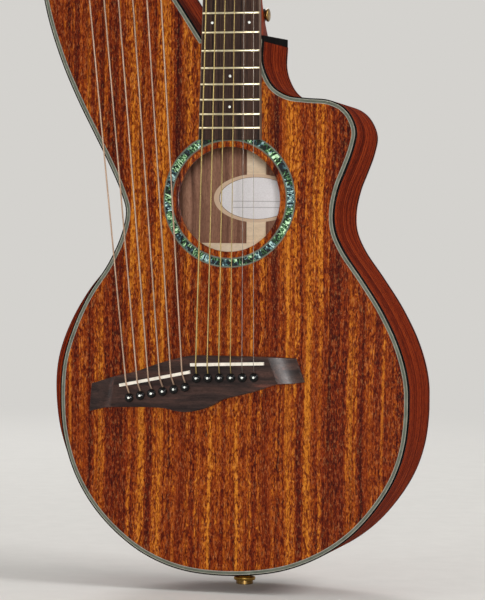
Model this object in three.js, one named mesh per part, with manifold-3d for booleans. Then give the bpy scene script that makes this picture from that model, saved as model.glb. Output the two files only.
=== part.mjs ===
// Harp guitar: a six-string guitar whose hollow body runs on into a hollow harp arm, which carries six
// bass strings.
// Millimetres. +X is the treble side, +Y goes into the body from the soundboard's face, +Z runs up the neck.
// The origin is the nut's front edge, on the neck's centre line and in the plane of the soundboard.
import * as THREE from "three";
import { mergeVertices } from "three/addons/utils/BufferGeometryUtils.js";
import Module from "manifold-3d";

const wasm = await Module();
wasm.setup();

// Clearances
const touch = 0.3; // between glued or resting pieces
const running = 0.3; // round a shaft that turns
const overrun = 4; // how far a cutting tool passes the piece that it cuts
const facetBulge = 0.9; // how far a smooth rim may bulge off a facet before the facet is divided

// Scale, frets and fretboard
const scaleLength = 632;
const bodyFret = 12;
const fretCount = 18;
const notesPerOctave = 12;
const jointPastFret = 5;
const boardPastFret = 11.5;
const boardHalfWidthAtNut = 23;
const boardHalfWidthAtBody = 29.2;
const boardThickness = 6;
const fretWidth = 2.2;
const fretHeight = 1;

// Hollow body
const bodyLength = 522;
const boutHalfWidth = 180;
const depthAtJoint = 101.6;
const depthAtTail = 114.3;
const topThickness = 3;
const backThickness = 3;
const sideThickness = 2.5;
const liningWidth = 8;
const liningHeight = 12;
const liningSlope = 5;
const bindingWidth = 2.5;
const bindingHeight = 5;
const jointMargin = 1.8; // how much wider than the board the body is at the neck joint, on each side
const bevelWidth = 15;
const bevelDepth = 30;

// Soundhole and rosette, from the neck joint and a little to the bass side
const holeFromJoint = 156.7;
const holeToBass = 1.2;
const holeRadius = 51;
const rosetteInner = 58.5;
const rosetteOuter = 65.2;
const rosetteDepth = 1.5;

// Neck, heel and headstock
const neckDepthAtNut = 14.5;
const neckDepthAtHeel = 17;
const heelLength = 66;
const heelMargin = 2.2; // how much narrower than the board the heel is, on each side
const boardOverhang = 0.6;
const headTilt = THREE.MathUtils.degToRad(13);
const headLength = 142;
const headHalfWidth = 36;
const headTipHalfWidth = 33;
const headThickness = 15;
const nutThickness = 5;
const nutHeight = 8;
const nutEndMargin = 0.6;

// Harp arm, from the neck joint upwards and from the centre line towards the bass side
const armButt = 211;
const harpHeadWidth = 43;
const harpHeadLength = 140;
const harpNutLip = 7;
const harpNutThickness = 5;
const harpNutHeight = 9;
const harpNutOverhang = 6;
const harpHeelRun = 80;

// Strings: where they cross the nut and the saddles
const mainStrings = 6;
const harpStrings = 6;
const mainSpreadAtNut = 38.6;
const mainSpreadAtSaddle = 58;
const saddleSetback = 6; // how much longer than the scale the middle of the main saddle makes the strings
const mainGauges = [1.4, 1.2, 1, 0.8, 0.6, 0.5];
const harpGauge = 1.8;
const harpSpacing = 22.4;
const harpOuterInset = 35.9; // from the arm's outer face to the outermost harp string at the harp nut
const harpOuterReach = 85; // from the arm's end to where that string crosses the harp nut
const harpNutTurn = THREE.MathUtils.degToRad(45.6);
const harpSaddleFar = 99.7;
const harpSaddleNear = 42.7;
const harpSaddleFarDrop = 21.6; // below the main saddle's middle
const harpSaddleNearDrop = 9.9;
const windHeight = 6.5;

// Bridge, from its highest point near the soundhole
const bridgeReach = 139.8;
const bridgeDrop = 57.7;
const bridgeAboveSaddle = 8;
const bridgeThickness = 9;
const wingThickness = 5;
const saddleThickness = 3;
const saddleHeight = 12.2;
const saddleSink = 4;
const mainSaddleBass = 35;
const mainSaddleTreble = 38.7;
const mainSaddleSlant = 2.7; // how much further down the bass end lies
const harpSaddleMargin = 7.5;
const pinHeadRadius = 3.4;
const pinHeadHeight = 3.6;
const mainPinsPastSaddle = 13.3;
const harpPinsPastSaddle = 13.5;
const harpPinShift = 2.4;

// Tuning machines
const postRadius = 3;
const postChamfer = 0.75;
const postWaist = 2.3;
const postProud = 13;
const postInset = 13;
const mainPostFirst = 36;
const mainPostSpacing = 35;
const platesThickness = 1.2;
const plateHalfWidth = 7.5;
const plateMargin = 11;
const gearTeeth = 14;
const gearPitchRadius = 4.75;
const toothAbove = 0.45;
const toothBelow = 1.15;
const toothTipHalf = 0.2;
const gearWidth = 3.4;
const wormPitchRadius = 2.2;
const wormCore = 1.5;
const threadTipHalf = 0.2;
const threadRootHalf = 0.62;
const earThickness = 1.4;
const earHalfWidth = 2.7;
const earGap = 3.7;
const buttonGap = 2.5;
const buttonLength = 16;
const buttonHalfWidth = 7.2;
const buttonFlat = 0.58;

// Braces and blocks inside the body
const braceWidth = 8;
const braceHeight = 14;
const barHeight = 9;
const bridgePlateThickness = 2.5;
const centreStripWidth = 19.8;
const centreStripThickness = 2;
const backBraceHeight = 12;
const backBraceWidth = 9;
const braceEndGap = 2;
const neckBlockLength = 50;
const tailBlockHalfWidth = 42;
const tailBlockLength = 22;

// Strap button and end pin
const strapFlange = 6.5;
const strapWaist = 3.6;
const strapBase = 5;
const strapLength = 9;
const strapDepth = 30;
const strapFromJoint = 25;
const strapSeatShare = 0.74;
const endPinBase = 8.5;
const endPinWaist = 6.2;
const endPinFlange = 10.8;
const endPinNut = 8.5;
const endPinLength = 16.5;
const endPinDepth = 74;

// Derived places
const jointZ = -(scaleLength / 2 + jointPastFret);
const taper = (depthAtTail - depthAtJoint) / bodyLength;
const backAt = (z) => depthAtJoint + taper * (jointZ - z);
const fretAt = (n) => -scaleLength * (1 - 2 ** (-n / notesPerOctave));
const boardEnd = fretAt(fretCount) - boardPastFret;
const boardHalfAt = (z) =>
  THREE.MathUtils.mapLinear(z, 0, fretAt(bodyFret), boardHalfWidthAtNut, boardHalfWidthAtBody);
const boardTop = -(touch + boardThickness);
const jointHalfWidth = boardHalfWidthAtBody + jointMargin;
const heelHalfWidth = boardHalfWidthAtBody - heelMargin;
const holeZ = jointZ - holeFromJoint;
const armButtZ = jointZ + armButt;
const lerp = THREE.MathUtils.lerp;
const saddleZ = -(scaleLength + saddleSetback);
const bridgeTop = -saddleZ - bridgeAboveSaddle;
const strapZ = jointZ + strapFromJoint;
const strapSeatX = heelHalfWidth * strapSeatShare;
const flat = (x, z) => new THREE.Vector2(x, z);

// A closed geometry as a solid for joining and cutting.
function solidOf(geometry) {
  const bare = geometry.clone();
  bare.deleteAttribute("normal");
  bare.deleteAttribute("uv");
  const merged = mergeVertices(bare);
  return new wasm.Manifold(
    new wasm.Mesh({
      numProp: 3,
      vertProperties: merged.attributes.position.array,
      triVerts: new Uint32Array(merged.index.array),
    }),
  );
}

function geometryOf(solid) {
  const mesh = solid.getMesh();
  const points = new Float32Array(mesh.numVert * 3);
  for (let i = 0; i < mesh.numVert; i += 1) {
    points.set(mesh.vertProperties.subarray(i * mesh.numProp, i * mesh.numProp + 3), i * 3);
  }
  return new THREE.BufferGeometry()
    .setAttribute("position", new THREE.BufferAttribute(points, 3))
    .setIndex(new THREE.BufferAttribute(mesh.triVerts, 1));
}

const join = (...pieces) => geometryOf(pieces.map(solidOf).reduce((a, b) => a.add(b)));
const cut = (piece, ...tools) =>
  geometryOf(tools.map(solidOf).reduce((a, b) => a.subtract(b), solidOf(piece)));
const common = (a, b) => geometryOf(solidOf(a).intersect(solidOf(b)));

// The triangles of a flat or nearly flat ring of points.
function capOf(ring) {
  const normal = new THREE.Vector3();
  ring.forEach((p, i) => normal.add(new THREE.Vector3().crossVectors(p, ring[(i + 1) % ring.length])));
  normal.normalize();
  const side = new THREE.Vector3(normal.y, normal.z, normal.x).cross(normal).normalize();
  const up = new THREE.Vector3().crossVectors(normal, side);
  return THREE.ShapeUtils.triangulateShape(
    ring.map((p) => flat(p.dot(side), p.dot(up))),
    [],
  );
}

// A skin over rings of equally many points, closed at both ends.
function loft(rings) {
  const count = rings[0].length;
  const faces = [];
  for (let r = 0; r + 1 < rings.length; r += 1) {
    for (let i = 0; i < count; i += 1) {
      const j = (i + 1) % count;
      const near = r * count;
      const far = near + count;
      faces.push([near + i, near + j, far + j], [near + i, far + j, far + i]);
    }
  }
  const last = (rings.length - 1) * count;
  capOf(rings[0]).forEach(([a, b, c]) => faces.push([c, b, a]));
  capOf(rings.at(-1)).forEach(([a, b, c]) => faces.push([last + a, last + b, last + c]));
  const points = rings.flat();
  const volume = faces.reduce((sum, [a, b, c]) => {
    const ab = new THREE.Vector3().crossVectors(points[a], points[b]);
    return sum + ab.dot(points[c]);
  }, 0);
  const facing = volume < 0 ? faces.map(([a, b, c]) => [c, b, a]) : faces;
  return new THREE.BufferGeometry().setFromPoints(points).setIndex(facing.flat());
}

// A plate drawn in X and Z, between two depths.
function plate(outline, holes, front, back) {
  const shape = new THREE.Shape(outline);
  shape.holes = holes.map((hole) => new THREE.Path(hole));
  return new THREE.ExtrudeGeometry(shape, { depth: back - front, bevelEnabled: false })
    .rotateX(Math.PI / 2)
    .translate(0, back, 0);
}

// A bar whose profile is drawn in Z and Y, between two places along X.
function bar(profile, left, right) {
  return new THREE.ExtrudeGeometry(new THREE.Shape(profile), { depth: right - left, bevelEnabled: false })
    .rotateY(-Math.PI / 2)
    .translate(right, 0, 0);
}

function circle(radius, sides, x = 0, z = 0) {
  return Array.from({ length: sides }, (_, i) => {
    const turn = (i / sides) * 2 * Math.PI;
    return flat(x + radius * Math.cos(turn), z + radius * Math.sin(turn));
  });
}

// A turned piece about the Y axis, from pairs of radius and height.
const turned = (profile, sides) => new THREE.LatheGeometry(profile.map(([r, y]) => flat(r, y)), sides);

function finish(color, roughness, metalness) {
  return new THREE.MeshStandardMaterial({ color, roughness, metalness });
}
const finishes = {
  top: finish(0xb5622a, 0.25, 0),
  body: finish(0x8f3d22, 0.3, 0),
  inside: finish(0xa9835a, 0.8, 0),
  neck: finish(0x7c3a22, 0.35, 0),
  rosewood: finish(0x3b2a26, 0.45, 0),
  binding: finish(0x8a8d84, 0.4, 0),
  shell: finish(0x3f8f88, 0.2, 0),
  bone: finish(0xe9e2cf, 0.45, 0),
  gold: finish(0xd4a844, 0.25, 1),
  bronze: finish(0xb98a5a, 0.35, 1),
  steel: finish(0xb8bcc0, 0.3, 1),
};

const guitar = new THREE.Group();
function add(name, geometry, material, parent = guitar) {
  const mesh = new THREE.Mesh(geometry, material.clone());
  mesh.name = name;
  parent.add(mesh);
  return mesh;
}

// The rim: the front edge of the body, from the arm's end down its inner side, across the neck joint, down
// the treble side, round the tail and up the bass side to the arm's end. The body lies to the right. Each
// pair is a share of the bout's half width and a share of the body's length below the neck joint or, on the
// arm, of the arm's length above it.
const armInnerShares = [
  [-0.733, 0.854],
  [-0.709, 0.722],
  [-0.623, 0.568],
  [-0.49, 0.404],
  [-0.32, 0.19],
];
const trebleShares = [
  [0.17, 0.04],
  [0.19, 0.066],
  [0.236, 0.091],
  [0.312, 0.1065],
  [0.414, 0.1118],
  [0.538, 0.1157],
  [0.615, 0.1274],
  [0.664, 0.1465],
  [0.692, 0.1741],
  [0.676, 0.2063],
  [0.642, 0.2395],
  [0.601, 0.2758],
  [0.576, 0.318],
  [0.582, 0.3544],
  [0.629, 0.3918],
  [0.733, 0.4431],
  [0.846, 0.5023],
  [0.942, 0.5701],
  [0.991, 0.6325],
  [0.998, 0.6926],
  [0.976, 0.759],
  [0.917, 0.8183],
  [0.809, 0.8768],
  [0.681, 0.9241],
  [0.519, 0.9625],
  [0.305, 0.9914],
];

const bassShares = [
  [0.026, 1.0037],
  [-0.249, 0.9969],
  [-0.462, 0.9704],
  [-0.633, 0.9293],
  [-0.772, 0.8784],
  [-0.876, 0.817],
  [-0.939, 0.7453],
  [-0.956, 0.677],
  [-0.944, 0.6093],
  [-0.887, 0.5428],
  [-0.804, 0.4824],
  [-0.687, 0.4216],
  [-0.615, 0.3671],
  [-0.591, 0.3236],
  [-0.621, 0.2875],
  [-0.691, 0.2352],
  [-0.774, 0.1806],
  [-0.878, 0.1121],
  [-0.972, 0.0402],
];
const armOuterShares = [
  [-1.059, 0.121],
  [-1.115, 0.37],
  [-1.138, 0.64],
  [-1.146, 0.89],
];
const rimPoint = ([across, down]) => flat(across * boutHalfWidth, jointZ - down * bodyLength);
const armPoint = ([across, up]) => flat(across * boutHalfWidth, jointZ + up * armButt);

// A smooth line through hand-set points, with more steps where a stretch bends far off its chord. It also
// gives the index at which each hand-set point lies.
function refined(points) {
  const curve = new THREE.CatmullRomCurve3(
    points.map((p) => new THREE.Vector3(p.x, 0, p.y)),
    false,
    "centripetal",
  );
  const last = points.length - 1;
  const path = [];
  const indices = points.map((point, i) => {
    const index = path.length;
    const next = Math.min(i + 1, last);
    const turn = curve.getTangent(i / last).angleTo(curve.getTangent(next / last));
    const bulge = (point.distanceTo(points[next]) * Math.tan(turn / 4)) / 2;
    const steps = Math.max(1, Math.ceil(Math.sqrt(bulge / facetBulge)));
    for (let k = 0; k < steps; k += 1) {
      const p = curve.getPoint((i + k / steps) / last);
      path.push(flat(p.x, p.z));
    }
    return index;
  });
  return { path, indices };
}

const armEndOuterShare = -1.148;
const armEndInnerShare = -0.742;
const armInner = refined([
  flat(armEndInnerShare * boutHalfWidth, armButtZ),
  ...armInnerShares.map(armPoint),
  flat(-jointHalfWidth, jointZ),
]);
const outer = refined([
  flat(jointHalfWidth + touch, jointZ),
  ...trebleShares.map(rimPoint),
  ...bassShares.map(rimPoint),
  ...armOuterShares.map(armPoint),
  flat(armEndOuterShare * boutHalfWidth, armButtZ),
]);
const rim = [...armInner.path, ...outer.path];
const trebleStart = armInner.path.length;
const bassStart = trebleStart + outer.indices[1 + trebleShares.length];

// The way inwards at each rim point, mitred so that an offset edge keeps its distance.
const inwards = rim.map((point, i) => {
  const normals = [rim[i - 1], point, rim[i + 1]]
    .slice(i === 0 ? 1 : 0, i === rim.length - 1 ? 2 : 3)
    .map((p, k, all) => (k + 1 < all.length ? all[k + 1].clone().sub(p).normalize() : null))
    .filter(Boolean)
    .map((d) => flat(d.y, -d.x));
  const [a, b = a] = normals;
  return a.clone().add(b).divideScalar(1 + a.dot(b));
});
const inset = (i, by) => rim[i].clone().addScaledVector(inwards[i], by);

// The forearm bevel on the bass side of the lower bout swells and fades along the body.
const bevelTopShare = 0.285;
const bevelEndShare = 0.975;
function bevelAt(i) {
  if (i < bassStart) return 0;
  const down = (jointZ - rim[i].y) / bodyLength;
  const along = THREE.MathUtils.clamp((down - bevelTopShare) / (bevelEndShare - bevelTopShare), 0, 1);
  return bevelWidth * Math.sin(Math.PI * along) ** 2;
}

// One cross-section of a bent side with its front and back linings glued on.
function sideRing(i) {
  const bevel = bevelAt(i);
  const ledge = bindingWidth + touch;
  const front = topThickness + touch;
  const innerBevelShare = (front + liningHeight + liningSlope) / bevelDepth;
  const section = [
    [0, bindingHeight + touch],
    [-bevel, bevelDepth],
    [-bevel, null, 0],
    [liningWidth - bevel, null, 0],
    [liningWidth - bevel, null, liningHeight],
    [sideThickness - bevel, null, liningHeight + liningSlope],
    [sideThickness - bevel * innerBevelShare, front + liningHeight + liningSlope],
    [liningWidth, front + liningHeight],
    [liningWidth, front],
    [ledge, front],
    [ledge, bindingHeight + touch],
  ];
  return section.map(([by, y, fromBack]) => {
    const p = inset(i, by);
    return new THREE.Vector3(p.x, y ?? backAt(p.y) - backThickness - touch - fromBack, p.y);
  });
}

// The treble side stops just short of the bass side, which it meets at the tail.
function sideBetween(first, last, shortBy = 0) {
  const rings = [];
  for (let i = first; i <= last; i += 1) rings.push(sideRing(i));
  rings.at(-1).forEach((p) => p.setX(p.x + shortBy));
  return loft(rings);
}

function bindingRing(i) {
  return [
    [0, 0],
    [bindingWidth, 0],
    [bindingWidth, bindingHeight],
    [0, bindingHeight],
  ].map(([by, y]) => {
    const p = inset(i, by);
    return new THREE.Vector3(p.x, y, p.y);
  });
}

// Presses a flat plate onto the sloping plane of the back.
function ontoBack(geometry) {
  const at = geometry.attributes.position;
  for (let i = 0; i < at.count; i += 1) at.setY(i, at.getY(i) + backAt(at.getZ(i)));
  return geometry;
}

function buildBody() {
  const holeSides = 36;
  const rosetteSides = 40;
  const topEdge = rim.map((_, i) => inset(i, bindingWidth + touch));
  const hole = circle(holeRadius, holeSides, -holeToBass, holeZ);
  const channel = plate(
    circle(rosetteOuter + touch, rosetteSides, -holeToBass, holeZ),
    [circle(rosetteInner - touch, rosetteSides, -holeToBass, holeZ)],
    -overrun,
    rosetteDepth + touch,
  );
  add("soundboard", cut(plate(topEdge, [hole], 0, topThickness), channel), finishes.top);
  add(
    "rosette",
    plate(
      circle(rosetteOuter, rosetteSides, -holeToBass, holeZ),
      [circle(rosetteInner, rosetteSides, -holeToBass, holeZ)],
      0,
      rosetteDepth,
    ),
    finishes.shell,
  );
  const backEdge = rim.map((_, i) => inset(i, -bevelAt(i)));
  add("back_plate", ontoBack(plate(backEdge, [], -backThickness, 0)), finishes.body);
  add("top_binding", loft(rim.map((_, i) => bindingRing(i))), finishes.binding);
  add("arm_inner_side", sideBetween(0, trebleStart - 1), finishes.body);
  add("treble_side", sideBetween(trebleStart, bassStart, touch), finishes.body);
  add("bass_side", sideBetween(bassStart, rim.length - 1), finishes.body);
}

// The slope of the back, for pieces that lie on it.
const backTilt = Math.atan(taper);

// A brace under the top, from one place to another, with a planed ridge.
function topBrace(from, to, width, height) {
  const half = width / 2;
  const ridge = width / 4;
  const profile = [
    [-half, 0],
    [half, 0],
    [half, height / 2],
    [ridge, height],
    [-ridge, height],
    [-half, height / 2],
  ];
  const along = to.clone().sub(from).normalize();
  const front = topThickness + touch;
  return loft(
    [from, to].map((end) =>
      profile.map(([by, y]) => new THREE.Vector3(end.x + by * along.y, front + y, end.y - by * along.x)),
    ),
  );
}

function buildTopBracing() {
  const crossingShare = 0.477;
  const legSpreadShare = 2.32;
  const upperShare = 0.24;
  const lowerShare = 0.742;
  const crossBarShare = 0.158;
  const crossZ = jointZ - crossingShare * bodyLength;
  const legSlope = (legSpreadShare * boutHalfWidth) / bodyLength;
  const legEnd = (sign, share) => {
    const z = jointZ - share * bodyLength;
    return flat(sign * (z - crossZ) * legSlope, z);
  };
  const legs = [-1, 1].map((sign) =>
    topBrace(legEnd(sign, upperShare), legEnd(sign, lowerShare), braceWidth, braceHeight),
  );
  const barZ = jointZ - crossBarShare * bodyLength;
  const barReachShare = { bass: 0.7, treble: 0.6 };
  const crossBar = topBrace(
    flat(-barReachShare.bass * boutHalfWidth, barZ),
    flat(barReachShare.treble * boutHalfWidth, barZ),
    braceWidth,
    braceHeight,
  );
  const besideHole = rosetteOuter + braceWidth / 2 - braceEndGap;
  const besideHoleBraces = [-1, 1].map((sign) => {
    const x = sign * besideHole - holeToBass;
    const upper = flat(x, barZ);
    const lower = flat(x, crossZ + Math.abs(x) / legSlope);
    return topBrace(upper, lower, braceWidth, barHeight);
  });
  const toneShares = [
    [
      [0.42, 0.66],
      [-0.35, 0.86],
    ],
    [
      [0.58, 0.73],
      [-0.1, 0.9],
    ],
  ];
  const toneBars = toneShares.map(([from, to]) =>
    topBrace(rimPoint(from), rimPoint(to), braceWidth, barHeight),
  );
  const bass = -(harpSaddleFar + harpSaddleMargin);
  const underBridge = plate(
    [
      flat(bass, -bridgeTop - bridgeDrop),
      flat(mainSaddleTreble, -bridgeTop - bridgeDrop / 2),
      flat(mainSaddleTreble, -bridgeTop),
      flat(-mainSaddleBass, -bridgeTop),
      flat(bass, -bridgeTop - bridgeDrop / 2),
    ],
    [],
    topThickness + touch,
    topThickness + touch + bridgePlateThickness,
  );
  add("top_bracing", join(...legs, crossBar, ...besideHoleBraces, ...toneBars, underBridge), finishes.inside);
}

// A flat strip on the inside of the back plate, drawn in X and Z.
function onBack(left, right, bottom, top, height) {
  const outline = [flat(left, bottom), flat(right, bottom), flat(right, top), flat(left, top)];
  const inner = -(backThickness + touch);
  return ontoBack(plate(outline, [], inner - height, inner));
}

function buildBackBracing() {
  const stripTopShare = 0.115;
  const braceShares = [
    { down: 0.175, bass: -0.655, treble: 0.6 },
    { down: 0.389, bass: -0.51, treble: 0.54 },
    { down: 0.62, bass: -0.93, treble: 0.9 },
    { down: 0.82, bass: -0.8, treble: 0.82 },
  ];
  const strip = onBack(
    -centreStripWidth / 2,
    centreStripWidth / 2,
    jointZ - bodyLength + liningWidth + tailBlockLength + braceEndGap,
    jointZ - stripTopShare * bodyLength,
    centreStripThickness,
  );
  const braces = braceShares.map(({ down, bass, treble }) => {
    const z = jointZ - down * bodyLength;
    const half = backBraceWidth / 2;
    return onBack(bass * boutHalfWidth, treble * boutHalfWidth, z - half, z + half, backBraceHeight);
  });
  add("back_bracing", join(strip, ...braces), finishes.inside);
}

function buildBlocks() {
  const front = topThickness + touch;
  const underBack = (z) => backAt(z) - backThickness - touch;
  const face = jointZ - touch;
  const ledge = jointZ - bindingWidth - touch;
  const far = jointZ - neckBlockLength;
  const beside = rim.map((_, i) => i).filter((i) => i >= trebleStart && i < bassStart);
  const nearBlock = beside.filter((i) => rim[i].y > far - overrun);
  const treble = Math.min(...nearBlock.map((i) => inset(i, liningWidth).x)) - braceEndGap;
  const neckBlock = bar(
    [
      flat(face, bindingHeight + touch),
      flat(ledge, bindingHeight + touch),
      flat(ledge, front),
      flat(far, front),
      flat(far, underBack(far)),
      flat(face, underBack(face)),
    ],
    -(jointHalfWidth - touch),
    treble,
  );
  add("neck_block", neckBlock, finishes.inside);

  const tailZ = jointZ - bodyLength;
  const innerZ = tailZ + liningWidth + tailBlockLength;
  const nearTail = tailZ + (jointZ - holeZ);
  const beyondShare = 1.4;
  const cornerX = tailBlockHalfWidth * beyondShare;
  const atTail = (p) => p.y < nearTail && Math.abs(p.x) < cornerX;
  const tailIndices = rim.map((_, i) => i).filter((i) => atTail(rim[i]));
  const following = (by) => tailIndices.map((i) => inset(i, by));
  const clipped = (by, frontY, back) => {
    const corners = [flat(-cornerX, innerZ), flat(cornerX, innerZ)];
    const outline = [...following(by), ...corners];
    const window = plate(
      [
        flat(-tailBlockHalfWidth, tailZ - overrun),
        flat(tailBlockHalfWidth, tailZ - overrun),
        flat(tailBlockHalfWidth, innerZ),
        flat(-tailBlockHalfWidth, innerZ),
      ],
      [],
      frontY,
      back,
    );
    return common(plate(outline, [], frontY, back), window);
  };
  const lined = liningHeight + liningSlope + touch;
  const tailBlock = join(
    clipped(liningWidth + touch, front, underBack(tailZ + liningWidth + tailBlockLength)),
    clipped(sideThickness + touch, front + lined, underBack(tailZ) - lined - touch),
  );
  add("tail_block", tailBlock, finishes.inside);
}

// The neck's cross-section runs from a shallow bow under the board to the deep shield of the heel.
const shaftShares = [
  [1, 0],
  [0.95, 0.36],
  [0.8, 0.68],
  [0.56, 0.89],
  [0.28, 0.98],
];
const heelShares = [
  [1, 0],
  [0.99, 0.2],
  [0.91, 0.45],
  [0.69, 0.75],
  [0.38, 1],
];
function neckRing(z, depth, heelShare) {
  const half = lerp(boardHalfAt(z) - boardOverhang, heelHalfWidth, heelShare);
  const right = shaftShares.map(([x, y], k) => [
    half * lerp(x, heelShares[k][0], heelShare),
    depth * lerp(y, heelShares[k][1], heelShare),
  ]);
  const left = right.map(([x, y]) => [-x, y]).reverse();
  return [...right, [0, depth], ...left].map(([x, y]) => new THREE.Vector3(x, y, z));
}

// The headstock is drawn in its own leaning frame, whose face starts where the nut ends.
const headFrame = new THREE.Group();
headFrame.position.set(0, 0, nutThickness + touch);
headFrame.rotation.x = -headTilt;
headFrame.updateMatrixWorld(true);
guitar.add(headFrame);

const buttonSides = 16;
const tunerSides = 8;
const wormSides = 6;
const perSide = mainStrings / 2;
const mainPostPlaces = Array.from({ length: perSide }, (_, k) => mainPostFirst + k * mainPostSpacing);
const mainPosts = [-1, 1].flatMap((side) =>
  mainPostPlaces.map((z) => ({ side, x: side * (headHalfWidth - postInset), z })),
);
const postHole = ({ x, z }) =>
  plate(circle(postRadius + running, tunerSides, x, z), [], -overrun, headThickness + overrun);

function buildNeck() {
  const heelTopZ = jointZ + heelLength;
  const heelDepth = backAt(jointZ) - touch;
  const shaftFrets = [3, 7];
  const shaftStations = [nutThickness + touch, ...shaftFrets.map(fretAt), heelTopZ];
  const shaft = shaftStations.map((z) =>
    neckRing(z, THREE.MathUtils.mapLinear(z, 0, heelTopZ, neckDepthAtNut, neckDepthAtHeel), 0),
  );
  const heelSweep = 1.6;
  const heelStepShares = [0.16, 0.34, 0.52, 0.7, 0.86, 1];
  const heel = heelStepShares.map((share) => {
    const z = lerp(heelTopZ, jointZ + touch, share);
    const drop = share ** heelSweep;
    return neckRing(z, lerp(neckDepthAtHeel, heelDepth, drop), Math.sqrt(drop));
  });
  const blank = loft([...shaft, ...heel]);
  const seatRadius = strapBase + touch;
  const strapSeat = new THREE.CylinderGeometry(seatRadius, seatRadius, heelHalfWidth, buttonSides)
    .rotateZ(Math.PI / 2)
    .translate(strapSeatX + heelHalfWidth / 2, strapDepth, strapZ);

  const crown = new THREE.Shape();
  const shoulderShare = 0.24;
  const shoulderBendShare = 0.144;
  const waistHalf = boardHalfWidthAtNut - boardOverhang;
  const crestShare = 0.5;
  const bendZ = shoulderBendShare * headLength;
  const shoulderZ = shoulderShare * headLength;
  const crestX = crestShare * headTipHalfWidth;
  const crestZ = headLength + nutThickness;
  crown.moveTo(-waistHalf, 0);
  crown.lineTo(-waistHalf, nutThickness);
  crown.quadraticCurveTo(-waistHalf, bendZ, -headHalfWidth, shoulderZ);
  crown.lineTo(-headTipHalfWidth, headLength);
  crown.quadraticCurveTo(-crestX, crestZ, 0, headLength - nutThickness);
  crown.quadraticCurveTo(crestX, crestZ, headTipHalfWidth, headLength);
  crown.lineTo(headHalfWidth, shoulderZ);
  crown.quadraticCurveTo(waistHalf, bendZ, waistHalf, nutThickness);
  crown.lineTo(waistHalf, 0);
  const crownSteps = 4;
  const face = plate(crown.getPoints(crownSteps), [], 0, headThickness);
  const headstock = cut(face, ...mainPosts.map(postHole));
  const leaning = headstock.applyMatrix4(headFrame.matrixWorld);
  add("neck", cut(join(blank, leaning), strapSeat), finishes.neck);
}

function buildFretboard() {
  const top = [flat(-touch, -touch), flat(-touch, boardTop)];
  for (let n = 1; n <= fretCount; n += 1) {
    const z = fretAt(n);
    top.push(
      flat(z + fretWidth / 2, boardTop),
      flat(z + fretWidth / 4, boardTop - fretHeight),
      flat(z - fretWidth / 4, boardTop - fretHeight),
      flat(z - fretWidth / 2, boardTop),
    );
  }
  top.push(flat(boardEnd, boardTop), flat(boardEnd, -touch));
  const board = bar(top, -boardHalfWidthAtBody, boardHalfWidthAtBody);
  const at = board.attributes.position;
  for (let i = 0; i < at.count; i += 1) at.setX(i, Math.sign(at.getX(i)) * boardHalfAt(at.getZ(i)));
  add("fretboard", board, finishes.rosewood);
  const nutHalf = boardHalfWidthAtNut - nutEndMargin;
  const nut = new THREE.BoxGeometry(nutHalf * 2, nutHeight - touch, nutThickness)
    .translate(0, -(nutHeight + touch) / 2, nutThickness / 2);
  add("nut", nut, finishes.bone);
}

// A straight strip standing on the top, from one place to another.
function strip(from, to, thickness, top, bottom) {
  const run = to.clone().sub(from);
  return new THREE.BoxGeometry(run.length(), bottom - top, thickness)
    .rotateY(-run.angle())
    .translate((from.x + to.x) / 2, (top + bottom) / 2, (from.y + to.y) / 2);
}

// The harp head: s runs along the harp nut from the outer string inwards, t runs from the nut to the buttons.
const harpNutLength = harpSpacing * (harpStrings - 1);
const alongNut = flat(Math.cos(harpNutTurn), Math.sin(harpNutTurn));
const acrossNut = flat(-alongNut.y, alongNut.x);
const harpNutOuter = flat(armEndOuterShare * boutHalfWidth + harpOuterInset, armButtZ + harpOuterReach);
const harpPlace = (s, t) =>
  harpNutOuter.clone().addScaledVector(alongNut, s).addScaledVector(acrossNut, t);
const harpPostRow = harpHeadWidth - harpNutLip - postInset;
const harpTurn = Math.atan2(-acrossNut.y, acrossNut.x);
const harpPosts = Array.from({ length: harpStrings }, (_, k) => {
  const reach = harpPlace(k * harpSpacing, harpPostRow);
  return { x: reach.x, z: reach.y };
});

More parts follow.
